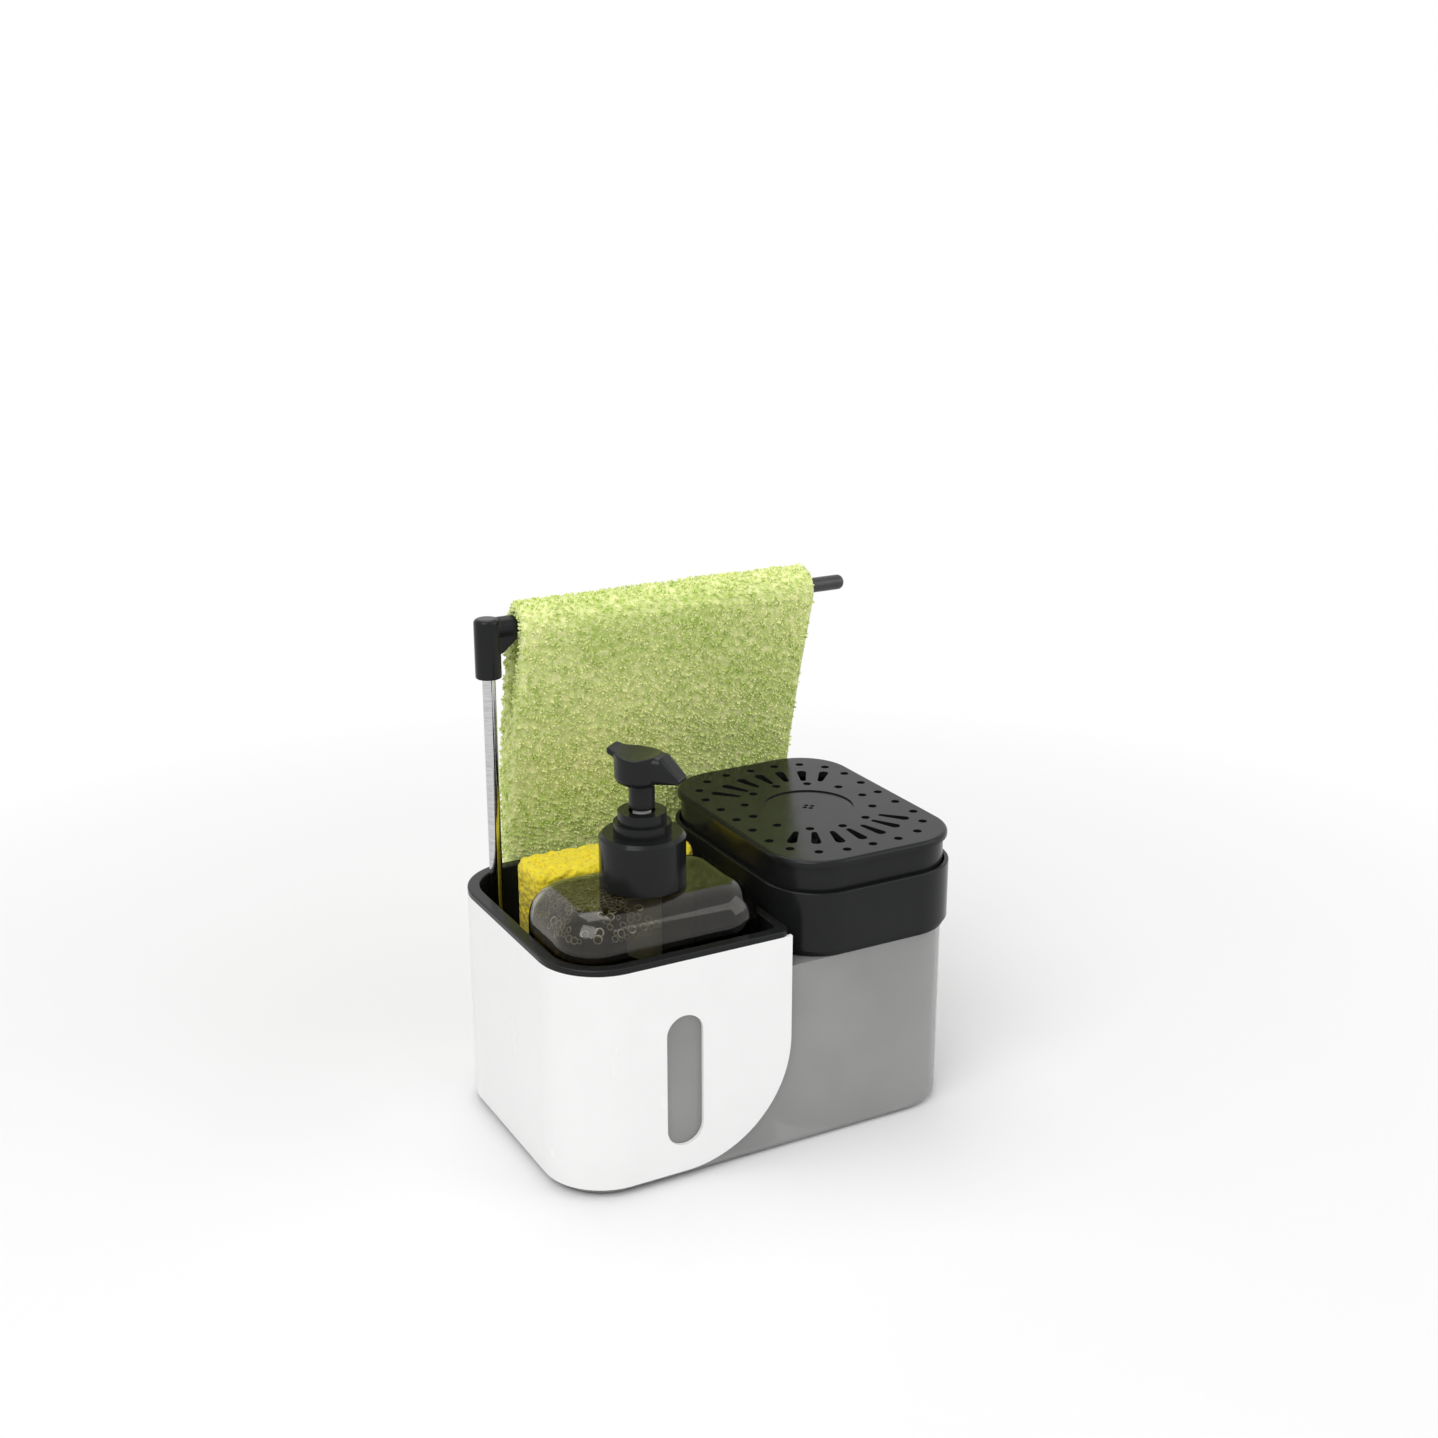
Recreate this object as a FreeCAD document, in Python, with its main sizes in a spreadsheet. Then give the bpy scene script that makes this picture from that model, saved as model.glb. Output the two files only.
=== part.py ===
import FreeCAD, Part
import math
import os
import Sketcher

# Countertop soap caddy: a smoky tank with a press tray that wets a sponge, a bin with a pump bottle
# and a sponge, and a towel rail. Millimetres, Z up, X to the right, the front faces -Y, and the
# origin lies on the counter under the middle of the tank.

doc = FreeCAD.newDocument("soap_pump_caddy")
sheet = doc.addObject("Spreadsheet::Sheet", "Sheet")
next_row = 1
handed_in = []


class Size:
    """A length from the sheet, or a sum of such lengths, with the formula that binds it."""

    def __init__(self, value, formula):
        self.value = float(value)
        self.formula = formula

    def __add__(self, other):
        other = as_size(other)
        return Size(self.value + other.value, "(%s + %s)" % (self.formula, other.formula))

    def __sub__(self, other):
        other = as_size(other)
        return Size(self.value - other.value, "(%s - %s)" % (self.formula, other.formula))

    def __mul__(self, factor):
        if isinstance(factor, Size):
            return Size(self.value * factor.value, "(%s * %s)" % (self.formula, factor.formula))
        return Size(self.value * factor, "(%s * %s)" % (self.formula, factor))

    def __truediv__(self, divisor):
        return Size(self.value / divisor, "(%s / %s)" % (self.formula, divisor))

    def __neg__(self):
        return Size(-self.value, "(0 - %s)" % self.formula)

    __rmul__ = __mul__


def as_size(number):
    return number if isinstance(number, Size) else Size(number, repr(float(number)))


def smaller(one, other):
    """The lesser of two sizes."""
    return Size(min(one.value, other.value), "min(%s; %s)" % (one.formula, other.formula))


def along(angle):
    """How far one step in a direction goes to the right and to the back."""
    turn = math.radians(angle.value)
    right = Size(math.cos(turn), "cos(%s)" % angle.formula)
    return right, Size(math.sin(turn), "sin(%s)" % angle.formula)


def ball_seat(radius, bore):
    """How high a ball's middle lies above the edge of the round hole that it closes."""
    rise = "sqrt(%s ^ 2 - %s ^ 2)" % (radius.formula, bore.formula)
    return Size(math.sqrt(radius.value ** 2 - bore.value ** 2), rise)


def size(alias, value):
    """Write one driving dimension into the sheet and hand it back."""
    global next_row
    cell = "B%d" % next_row
    sheet.set("A%d" % next_row, alias)
    sheet.set(cell, str(value))
    sheet.setAlias(cell, alias)
    next_row += 1
    return Size(value, "Sheet." + alias)


# Overall body
body_width = size("body_width", 200)
body_depth = size("body_depth", 131)
body_round = size("body_round", 28)
fit_gap = size("fit_gap", 0.2)
drop_gap = size("drop_gap", 0.3)

# Tank
foot_height = size("foot_height", 1)
foot_radius = size("foot_radius", 6)
foot_margin = size("foot_margin", 22)
tank_top = size("tank_top", 89)
tank_wall = size("tank_wall", 1.8)
tank_floor = size("tank_floor", 3.5)
tank_edge = size("tank_edge", 5)
partition_middle = size("partition_middle", 6.5)
partition_wall = size("partition_wall", 5)
chamber_round = size("chamber_round", 24)

# White sleeve
sleeve_wall = size("sleeve_wall", 1.8)
sleeve_bottom = size("sleeve_bottom", 4.5)
sleeve_right = size("sleeve_right", 6.5)
swoosh_round = size("swoosh_round", 52)
slot_width = size("slot_width", 17.4)
slot_bottom = size("slot_bottom", 17.4)
slot_top = size("slot_top", 79)
slot_middle = size("slot_middle", 54.1)

# Bin liner
rim_rise = size("rim_rise", 18)
rim_thick = size("rim_thick", 2.6)
edge_round = size("edge_round", 0.7)
liner_wall = size("liner_wall", 1.6)
liner_corner = size("liner_corner", 6)
socket_wall = size("socket_wall", 1.5)
socket_top = size("socket_top", 66)

# Deck on the tank
deck_gap = size("deck_gap", 1)
deck_round = size("deck_round", 26)
deck_wall = size("deck_wall", 2.2)
deck_height = size("deck_height", 30.4)
deck_plate = size("deck_plate", 3)
bead_height = size("bead_height", 3)
bead_inset = size("bead_inset", 0.8)
plug_depth = size("plug_depth", 7)
plug_wall = size("plug_wall", 2)
seal_height = size("seal_height", 3)
seal_width = size("seal_width", 1.6)

# Press tray
tray_rise = size("tray_rise", 14.6)
tray_lip = size("tray_lip", 3)
lip_inset = size("lip_inset", 1)
skirt_wall = size("skirt_wall", 1.8)
skirt_spare = size("skirt_spare", 2)
press_travel = size("press_travel", 10)
dish_radius = size("dish_radius", 21)
dish_depth = size("dish_depth", 0.6)
hole_radius = size("hole_radius", 2)
ring_radius = size("ring_radius", 29.7)
slot_inner = size("slot_inner", 35)
slot_outer = size("slot_outer", 46)
slot_narrow = size("slot_narrow", 1.3)
slot_broad = size("slot_broad", 2.3)
row_margin_side = size("row_margin_side", 6.8)
row_margin_end = size("row_margin_end", 9.8)
row_round = size("row_round", 25)

# Press pump under the tray
barrel_bore = size("barrel_bore", 10)
barrel_wall = size("barrel_wall", 2)
barrel_bottom = size("barrel_bottom", 26)
barrel_floor = size("barrel_floor", 3)
barrel_flange = size("barrel_flange", 16)
barrel_flange_thick = size("barrel_flange_thick", 2.5)
nut_radius = size("nut_radius", 18)
nut_height = size("nut_height", 7)
plunger_radius = size("plunger_radius", 4.5)
plunger_bore = size("plunger_bore", 2)
piston_height = size("piston_height", 9)
piston_spare = size("piston_spare", 3.8)
running_gap = size("running_gap", 0.05)
tube_radius = size("tube_radius", 3.5)
tube_bore = size("tube_bore", 2.5)
tube_foot = size("tube_foot", 3)
valve_overlap = size("valve_overlap", 0.7)
nozzle_jet = size("nozzle_jet", 1.1)
tray_spring_gap = size("tray_spring_gap", 2.3)
tray_spring_wire = size("tray_spring_wire", 0.7)

# Pump bottle
bottle_side_gap = size("bottle_side_gap", 0.7)
bottle_front_gap = size("bottle_front_gap", 1.5)
bottle_back_gap = size("bottle_back_gap", 8.3)
bottle_corner = size("bottle_corner", 2.3)
shoulder_top = size("shoulder_top", 126)
shoulder_round = size("shoulder_round", 15)
bottle_wall = size("bottle_wall", 1.8)
base_round = size("base_round", 4)
neck_radius = size("neck_radius", 16.2)
neck_wall = size("neck_wall", 3.2)

# Lotion pump
closure_gap = size("closure_gap", 0.35)
closure_height = size("closure_height", 23)
closure_wall = size("closure_wall", 2.2)
closure_edge = size("closure_edge", 1.5)
chaplet_radius = size("chaplet_radius", 12.5)
chaplet_height = size("chaplet_height", 10)
chaplet_step = size("chaplet_step", 2)
housing_bore = size("housing_bore", 6.5)
housing_wall = size("housing_wall", 1.2)
housing_length = size("housing_length", 52)
housing_floor = size("housing_floor", 2)
flange_inset = size("flange_inset", 0.8)
flange_thick = size("flange_thick", 1.6)
gasket_thick = size("gasket_thick", 1)
stem_radius = size("stem_radius", 4)
stem_bore = size("stem_bore", 1.8)
head_rise = size("head_rise", 12)
head_travel = size("head_travel", 10)
piston_room = size("piston_room", 8)
head_radius = size("head_radius", 10.4)
head_back = size("head_back", 1.4)
head_height = size("head_height", 16)
head_skirt = size("head_skirt", 5.6)
skirt_drop = size("skirt_drop", 11)
saddle_round = size("saddle_round", 35)
saddle_depth = size("saddle_depth", 3)
spout_reach = size("spout_reach", 19)
spout_width = size("spout_width", 9)
lip_reach = size("lip_reach", 14)
spout_turn = size("spout_turn", -51.5)
pump_spring_wire = size("pump_spring_wire", 0.5)
pump_spring_gap = size("pump_spring_gap", 0.8)
inlet_overlap = size("inlet_overlap", 0.3)
dip_radius = size("dip_radius", 3)
dip_bore = size("dip_bore", 2.1)
dip_foot = size("dip_foot", 4)

# Towel rail
post_radius = size("post_radius", 3)
post_bore = size("post_bore", 2.3)
post_gap = size("post_gap", 0.36)
post_turn = size("post_turn", 119.41)
post_foot = size("post_foot", 18)
bar_height = size("bar_height", 223.7)
bar_radius = size("bar_radius", 3.6)
bar_length = size("bar_length", 185.3)
elbow_leg = size("elbow_leg", 5.9)
elbow_drop = size("elbow_drop", 22.3)
elbow_arm = size("elbow_arm", 5)
elbow_reach = size("elbow_reach", 13)
elbow_web = size("elbow_web", 4)

# Soft pieces
sponge_thick = size("sponge_thick", 28)
sponge_height = size("sponge_height", 115)
sponge_round = size("sponge_round", 5)
sponge_left_gap = size("sponge_left_gap", 16.3)
sponge_right_gap = size("sponge_right_gap", 1.1)
sponge_back_gap = size("sponge_back_gap", 9.3)
towel_width = size("towel_width", 150)
towel_thick = size("towel_thick", 4)
towel_front = size("towel_front", 140)
towel_rear = size("towel_rear", 150)
towel_gap = size("towel_gap", 0.5)
towel_back_gap = size("towel_back_gap", 0.8)
bend_rise = size("bend_rise", 3)
towel_sway = size("towel_sway", 3)

# Sizes worked out from the ones above
half_width = body_width / 2
half_depth = body_depth / 2
rim_top = tank_top + rim_rise
sleeve_top = rim_top - rim_thick
tank_inset = sleeve_wall + fit_gap
tank_width = body_width - 2 * tank_inset
tank_depth = body_depth - 2 * tank_inset
tank_round = body_round - tank_inset
tank_inside = tank_floor
partition_left = partition_middle - partition_wall / 2
partition_right = partition_middle + partition_wall / 2
bay_left = -half_width + tank_inset + tank_wall
bay_round = tank_round - tank_wall
bay_depth = tank_depth - 2 * tank_wall
chamber_right = half_width - tank_inset - tank_wall
liner_left = bay_left + drop_gap
liner_right = partition_left - drop_gap
liner_width = liner_right - liner_left
liner_depth = bay_depth - 2 * drop_gap
liner_round = bay_round - drop_gap
liner_middle = (liner_left + liner_right) / 2
bin_left = liner_left + liner_wall
bin_right = liner_right - liner_wall
bin_floor = tank_inside + liner_wall
bin_width = liner_width - 2 * liner_wall
bin_depth = liner_depth - 2 * liner_wall
bin_round = liner_round - liner_wall
deck_left = sleeve_right + deck_gap
deck_width = half_width - deck_left
deck_middle = deck_left + deck_width / 2
deck_floor = tank_top + bead_height
deck_top = tank_top + deck_height
tray_top = deck_top + tray_rise
tray_width = deck_width - 2 * lip_inset
tray_depth = body_depth - 2 * lip_inset
tray_round = deck_round - lip_inset
tray_under = tray_top - tray_lip
skirt_inset = deck_wall + drop_gap * 2
barrel_top = deck_floor + deck_plate
skirt_depth = tray_under - barrel_top - press_travel - skirt_spare
nozzle_radius = plunger_radius + drop_gap
valve_ball = tube_bore + valve_overlap
valve_top = barrel_bottom + barrel_floor + ball_seat(valve_ball, tube_bore) + valve_ball
piston_start = valve_top + press_travel + piston_spare
tray_spring_radius = barrel_bore - tray_spring_wire - tray_spring_gap
post_reach = bin_round - post_radius - post_gap
post_right, post_behind = along(post_turn)
post_x = bin_left + bin_round + post_reach * post_right
post_y = bin_depth / 2 - bin_round + post_reach * post_behind
socket_radius = post_radius + fit_gap + socket_wall
sponge_left = bin_left + sponge_left_gap
sponge_width = bin_right - sponge_right_gap - sponge_left
sponge_back = post_y - socket_radius - sponge_back_gap
bottle_front = -bin_depth / 2 + bottle_front_gap
bottle_back = sponge_back - sponge_thick - bottle_back_gap
bottle_width = bin_width - 2 * bottle_side_gap
bottle_depth = bottle_back - bottle_front
bottle_round = smaller(bin_round - bottle_corner, bottle_depth * 0.45)
bottle_x = liner_middle
bottle_y = (bottle_front + bottle_back) / 2
neck_bore = neck_radius - neck_wall
closure_radius = neck_radius + closure_gap + closure_wall
housing_flange = neck_radius - flange_inset
pump_ball = dip_bore + inlet_overlap
pump_spring_radius = housing_bore - pump_spring_wire - pump_spring_gap
closure_bottom = shoulder_top + fit_gap
closure_top = closure_bottom + closure_height
neck_top = closure_top - closure_wall - flange_thick - gasket_thick
chaplet_top = closure_top + chaplet_height
flange_seat = neck_top + gasket_thick
housing_bottom = flange_seat - housing_length
head_bottom = chaplet_top + head_rise


def bind(item, prop, amount):
    item.setExpression(prop, as_size(amount).formula)


def place(item, x=0, y=0, z=0):
    """Put a sub-part where the sheet says."""
    for axis, amount in zip("xyz", (x, y, z)):
        bind(item, "Placement.Base." + axis, amount)


def hand_in(item, label):
    item.Label = label
    handed_in.append(item)
    return item


def new_body(name):
    return doc.addObject("PartDesign::Body", name)


def new_sketch(body, role, name, x=0, y=0, z=0, turn=0.0):
    """A sketch on one of the body's own origin planes, shifted by sizes from the sheet."""
    sketch = body.newObject("Sketcher::SketchObject", body.Name + "_" + name)
    plane = [item for item in body.Origin.OriginFeatures if item.Role == role][0]
    sketch.AttachmentSupport = [(plane, "")]
    sketch.MapMode = "FlatFace"
    sketch.AttachmentOffset = FreeCAD.Placement(FreeCAD.Vector(), FreeCAD.Rotation(turn, 0, 0))
    for axis, amount in zip("xyz", (x, y, z)):
        bind(sketch, "AttachmentOffset.Base." + axis, amount)
    return sketch


def dimension(sketch, kind, *parts):
    """Add one dimension whose value follows the sheet."""
    amount = as_size(parts[-1])
    index = sketch.addConstraint(Sketcher.Constraint(kind, *parts[:-1], amount.value))
    bind(sketch, "Constraints[%d]" % index, amount)


def draw_circle(sketch, radius):
    centre = FreeCAD.Vector(0, 0, 0)
    up = FreeCAD.Vector(0, 0, 1)
    sketch.addGeometry(Part.Circle(centre, up, as_size(radius).value), False)
    sketch.addConstraint(Sketcher.Constraint("Coincident", 0, 3, -1, 1))
    dimension(sketch, "Radius", 0, radius)
    return sketch


def draw_round_rect(sketch, width, depth, left_round, right_round=None):
    """A rectangle about the sketch's origin with one radius on the left and one on the right."""
    right_round = left_round if right_round is None else right_round
    half_w = width.value / 2
    half_d = depth.value / 2
    left = as_size(left_round).value
    right = as_size(right_round).value
    up = FreeCAD.Vector(0, 0, 1)

    def line(x1, y1, x2, y2):
        start = FreeCAD.Vector(x1, y1, 0)
        sketch.addGeometry(Part.LineSegment(start, FreeCAD.Vector(x2, y2, 0)), False)

    def corner(x, y, radius, start_angle):
        circle = Part.Circle(FreeCAD.Vector(x, y, 0), up, radius)
        end_angle = start_angle + math.pi / 2
        sketch.addGeometry(Part.ArcOfCircle(circle, start_angle, end_angle), False)

    line(-half_w + left, -half_d, half_w - right, -half_d)
    line(half_w, -half_d + right, half_w, half_d - right)
    line(half_w - right, half_d, -half_w + left, half_d)
    line(-half_w, half_d - left, -half_w, -half_d + left)
    corner(half_w - right, -half_d + right, right, -math.pi / 2)
    corner(half_w - right, half_d - right, right, 0)
    corner(-half_w + left, half_d - left, left, math.pi / 2)
    corner(-half_w + left, -half_d + left, left, math.pi)
    for first, arc, second in ((0, 4, 1), (1, 5, 2), (2, 6, 3), (3, 7, 0)):
        sketch.addConstraint(Sketcher.Constraint("Tangent", first, 2, arc, 1))
        sketch.addConstraint(Sketcher.Constraint("Tangent", arc, 2, second, 1))
    for level in (0, 2):
        sketch.addConstraint(Sketcher.Constraint("Horizontal", level))
    for upright in (1, 3):
        sketch.addConstraint(Sketcher.Constraint("Vertical", upright))
    sketch.addConstraint(Sketcher.Constraint("Equal", 4, 5))
    sketch.addConstraint(Sketcher.Constraint("Equal", 7, 6))
    dimension(sketch, "Radius", 4, right_round)
    dimension(sketch, "Radius", 7, left_round)
    dimension(sketch, "DistanceX", -1, 1, 1, 1, width / 2)
    dimension(sketch, "DistanceX", 3, 1, -1, 1, width / 2)
    dimension(sketch, "DistanceY", -1, 1, 2, 1, depth / 2)
    dimension(sketch, "DistanceY", 0, 1, -1, 1, depth / 2)
    return sketch


def draw_profile(sketch, points):
    """A closed outline of straight edges whose corners are pairs of sizes, none of them negative."""
    corners = [(as_size(x), as_size(y)) for x, y in points]
    count = len(corners)
    for index, (x, y) in enumerate(corners):
        end_x, end_y = corners[(index + 1) % count]
        start = FreeCAD.Vector(x.value, y.value, 0)
        end = FreeCAD.Vector(end_x.value, end_y.value, 0)
        sketch.addGeometry(Part.LineSegment(start, end), False)
    for index in range(count):
        sketch.addConstraint(Sketcher.Constraint("Coincident", index, 2, (index + 1) % count, 1))
    for index, (x, y) in enumerate(corners):
        if x.value == 0:
            sketch.addConstraint(Sketcher.Constraint("PointOnObject", index, 1, -2))
        else:
            dimension(sketch, "DistanceX", -1, 1, index, 1, x)
        if y.value == 0:
            sketch.addConstraint(Sketcher.Constraint("PointOnObject", index, 1, -1))
        else:
            dimension(sketch, "DistanceY", -1, 1, index, 1, y)
    return sketch


def pad(body, sketch, length, reverse=False):
    feature = body.newObject("PartDesign::Pad", sketch.Name + "_pad")
    feature.Profile = sketch
    bind(feature, "Length", length)
    feature.Reversed = reverse
    return feature


def pocket(body, sketch, length=None, reverse=False):
    """A pocket of the given depth, or through everything."""
    feature = body.newObject("PartDesign::Pocket", sketch.Name + "_pocket")
    feature.Profile = sketch
    feature.Reversed = reverse
    if length is None:
        feature.Type = "ThroughAll"
    else:
        bind(feature, "Length", length)
    return feature


def fillet(body, base, picks, radius):
    feature = body.newObject("PartDesign::Fillet", base.Name + "_round")
    feature.Base = (base, picks)
    bind(feature, "Radius", radius)
    return feature


def level_face(feature, z):
    """The name of the level face at a height, the largest one where there are several."""
    doc.recompute()
    found = []
    for index, face in enumerate(feature.Shape.Faces):
        box = face.BoundBox
        if box.ZLength < 1e-4 and abs(box.ZMin - z) < 1e-3:
            found.append((box.XLength * box.YLength, "Face%d" % (index + 1)))
    return max(found)[1]


def polar_pattern(body, original, sketch, angle, count):
    feature = body.newObject("PartDesign::PolarPattern", original.Name + "_ring")
    feature.Originals = [original]
    feature.Axis = (sketch, ["N_Axis"])
    feature.Angle = angle
    feature.Occurrences = count
    body.Tip = feature
    return feature


def turned(label, points, x=0, y=0, z=0):
    """A piece turned about its own upright axis from a half profile."""
    body = new_body(label)
    profile = draw_profile(new_sketch(body, "XZ_Plane", "profile"), points)
    feature = body.newObject("PartDesign::Revolution", label + "_turn")
    feature.Profile = profile
    feature.ReferenceAxis = (profile, ["V_Axis"])
    feature.Angle = 360
    place(body, x, y, z)
    return hand_in(body, label)


def tube_profile(inner, outer, height):
    return [(inner, 0), (outer, 0), (outer, height), (inner, height)]


def make_tank():
    """The full-width smoky moulding: a dry bay for the bin on the left, the soap chamber on the right."""
    body = new_body("tank")
    height = tank_top
    outline = draw_round_rect(new_sketch(body, "XY_Plane", "outline"), tank_width, tank_depth, tank_round)
    block = pad(body, outline, height)
    fillet(body, block, [level_face(block, 0)], tank_edge)
    bay_width = partition_left - bay_left
    bay = new_sketch(body, "XY_Plane", "bay", x=(partition_left + bay_left) / 2, z=height)
    draw_round_rect(bay, bay_width, bay_depth, bay_round, liner_corner + drop_gap)
    pocket(body, bay, height - tank_floor)
    chamber_width = chamber_right - partition_right
    chamber = new_sketch(body, "XY_Plane", "chamber", x=(chamber_right + partition_right) / 2, z=height)
    draw_round_rect(chamber, chamber_width, bay_depth, chamber_round, bay_round)
    pocket(body, chamber, height - tank_floor)
    for side in (-1, 1):
        for end in (-1, 1):
            seat = new_sketch(body, "XY_Plane", "foot_seat", x=side * (half_width - foot_margin),
                              y=end * (half_depth - foot_margin))
            pocket(body, draw_circle(seat, foot_radius + fit_gap), foot_height, reverse=True)
    return hand_in(body, "tank")


def make_feet():
    """Four rubber pads set flush into the tank's underside, as one group."""
    pads = []
    for side in (-1, 1):
        for end in (-1, 1):
            pad_piece = doc.addObject("Part::Cylinder", "foot_pad")
            bind(pad_piece, "Radius", foot_radius)
            bind(pad_piece, "Height", foot_height)
            place(pad_piece, side * (half_width - foot_margin), end * (half_depth - foot_margin), 0)
            pads.append(pad_piece)
    group = doc.addObject("Part::Compound", "rubber_feet")
    group.Links = pads
    return hand_in(group, "rubber_feet")


def make_sleeve():
    """The white sleeve round the bin side, open on the right, with a swept lower corner and a window."""
    body = new_body("outer_sleeve")
    height = sleeve_top - sleeve_bottom
    outline = draw_round_rect(new_sketch(body, "XY_Plane", "outline"), body_width, body_depth, body_round)
    pad(body, outline, height)
    inside = new_sketch(body, "XY_Plane", "inside", z=height)
    inside_width = body_width - 2 * sleeve_wall
    draw_round_rect(inside, inside_width, body_depth - 2 * sleeve_wall, body_round - sleeve_wall)
    pocket(body, inside)
    open_side = new_sketch(body, "XY_Plane", "open_side", x=(half_width + sleeve_right) / 2 + 1, z=height)
    draw_round_rect(open_side, half_width - sleeve_right + 2, body_depth + 2, 1)
    pocket(body, open_side)
    doc.recompute()
    sweep = new_sketch(body, "XZ_Plane", "sweep", x=sleeve_right - swoosh_round)
    draw_swept_corner(sweep)
    cut = pocket(body, sweep)
    cut.Midplane = True
    window = new_sketch(body, "XZ_Plane", "window", x=-half_width + slot_middle,
                        y=(slot_bottom + slot_top) / 2 - sleeve_bottom)
    draw_round_rect(window, slot_width, slot_top - slot_bottom, slot_width / 2 - 0.01)
    pocket(body, window, half_depth + 1, reverse=True)
    place(body, 0, 0, sleeve_bottom)
    return hand_in(body, "outer_sleeve")


def draw_swept_corner(sketch):
    """What the big lower corner radius takes off: a square less its quarter circle."""
    radius = swoosh_round.value
    up = FreeCAD.Vector(0, 0, 1)
    circle = Part.Circle(FreeCAD.Vector(0, radius, 0), up, radius)
    sketch.addGeometry(Part.ArcOfCircle(circle, -math.pi / 2, 0), False)
    corner = FreeCAD.Vector(radius, 0, 0)
    sketch.addGeometry(Part.LineSegment(FreeCAD.Vector(radius, radius, 0), corner), False)
    sketch.addGeometry(Part.LineSegment(corner, FreeCAD.Vector(0, 0, 0)), False)
    sketch.addConstraint(Sketcher.Constraint("Tangent", 0, 2, 1, 1))
    sketch.addConstraint(Sketcher.Constraint("Coincident", 1, 2, 2, 1))
    sketch.addConstraint(Sketcher.Constraint("Coincident", 2, 2, 0, 1))
    sketch.addConstraint(Sketcher.Constraint("Coincident", 0, 1, -1, 1))
    sketch.addConstraint(Sketcher.Constraint("PointOnObject", 0, 3, -2))
    sketch.addConstraint(Sketcher.Constraint("Vertical", 1))
    sketch.addConstraint(Sketcher.Constraint("Horizontal", 2))
    dimension(sketch, "Radius", 0, swoosh_round)


def make_liner():
    """The black drop-in bin with its broad rim and the socket for the rail's post."""
    body = new_body("bin_liner")
    depth = rim_top - tank_inside
    outline = new_sketch(body, "XY_Plane", "outline", x=liner_middle)
    draw_round_rect(outline, liner_width, liner_depth, liner_round, liner_corner)
    pad(body, outline, depth)
    rim_width = half_width + sleeve_right
    rim = new_sketch(body, "XY_Plane", "rim", x=(sleeve_right - half_width) / 2, z=depth - rim_thick)
    draw_round_rect(rim, rim_width, body_depth, body_round, liner_corner)
    pad(body, rim, rim_thick)
    inside = new_sketch(body, "XY_Plane", "inside", x=liner_middle, z=depth)
    draw_round_rect(inside, bin_width, bin_depth, bin_round, liner_corner - liner_wall)
    hollow = pocket(body, inside, depth - liner_wall)
    fillet(body, hollow, [level_face(hollow, depth.value)], edge_round)
    boss = new_sketch(body, "XY_Plane", "boss", x=post_x, y=post_y)
    pad(body, draw_circle(boss, socket_radius), socket_top - tank_inside)
    bore = new_sketch(body, "XY_Plane", "bore", x=post_x, y=post_y, z=socket_top - tank_inside)
    pocket(body, draw_circle(bore, post_radius + running_gap), socket_top - post_foot)
    place(body, 0, 0, tank_inside)
    return hand_in(body, "bin_liner")


def make_deck():
    """The black collar that plugs into the soap chamber and guides the press tray."""
    body = new_body("deck_collar")
    bead = new_sketch(body, "XY_Plane", "bead")
    bead_round = deck_round - bead_inset
    draw_round_rect(bead, deck_width - 2 * bead_inset, body_depth - 2 * tank_inset, bead_round)
    pad(body, bead, bead_height)
    walls = new_sketch(body, "XY_Plane", "walls", z=bead_height)
    draw_round_rect(walls, deck_width, body_depth, deck_round)
    pad(body, walls, deck_top - deck_floor)
    inside = new_sketch(body, "XY_Plane", "inside", z=deck_top - tank_top)
    inside_round = deck_round - deck_wall
    draw_round_rect(inside, deck_width - 2 * deck_wall, body_depth - 2 * deck_wall, inside_round)
    well = pocket(body, inside, deck_top - barrel_top)
    fillet(body, well, [level_face(well, (deck_top - tank_top).value)], edge_round)
    chamber_width = chamber_right - partition_right
    plug_shift = (chamber_right + partition_right) / 2 - deck_middle
    plug_gap = drop_gap * 2 + seal_width
    plug = new_sketch(body, "XY_Plane", "plug", x=plug_shift)
    plug_width = chamber_width - 2 * plug_gap
    plug_length = bay_depth - 2 * plug_gap
    draw_round_rect(plug, plug_width, plug_length, chamber_round - plug_gap, bay_round - plug_gap)
    pad(body, plug, plug_depth, reverse=True)
    hollow = new_sketch(body, "XY_Plane", "hollow", x=plug_shift, z=-plug_depth)
    hollow_left = chamber_round - plug_gap - plug_wall
    hollow_right = bay_round - plug_gap - plug_wall
    hollow_width = plug_width - 2 * plug_wall
    draw_round_rect(hollow, hollow_width, plug_length - 2 * plug_wall, hollow_left, hollow_right)
    pocket(body, hollow, plug_depth + bead_height, reverse=True)
    bore = new_sketch(body, "XY_Plane", "bore", z=deck_top - tank_top)
    pocket(body, draw_circle(bore, barrel_bore + barrel_wall + running_gap))
    place(body, deck_middle, 0, tank_top)
    return hand_in(body, "deck_collar")


def make_deck_seal():
    """The soft ring between the deck's plug and the wall of the soap chamber."""
    body = new_body("deck_seal")
    shift = (chamber_right + partition_right) / 2
    width = chamber_right - partition_right - 2 * drop_gap
    length = bay_depth - 2 * drop_gap
    outer = new_sketch(body, "XY_Plane", "outer")
    draw_round_rect(outer, width, length, chamber_round - drop_gap, bay_round - drop_gap)
    pad(body, outer, seal_height)
    inner = new_sketch(body, "XY_Plane", "inner", z=seal_height)
    inner_left = chamber_round - drop_gap - seal_width
    inner_right = bay_round - drop_gap - seal_width
    draw_round_rect(inner, width - 2 * seal_width, length - 2 * seal_width, inner_left, inner_right)
    pocket(body, inner)
    place(body, shift, 0, tank_top - seal_height)
    return hand_in(body, "deck_seal")


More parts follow.
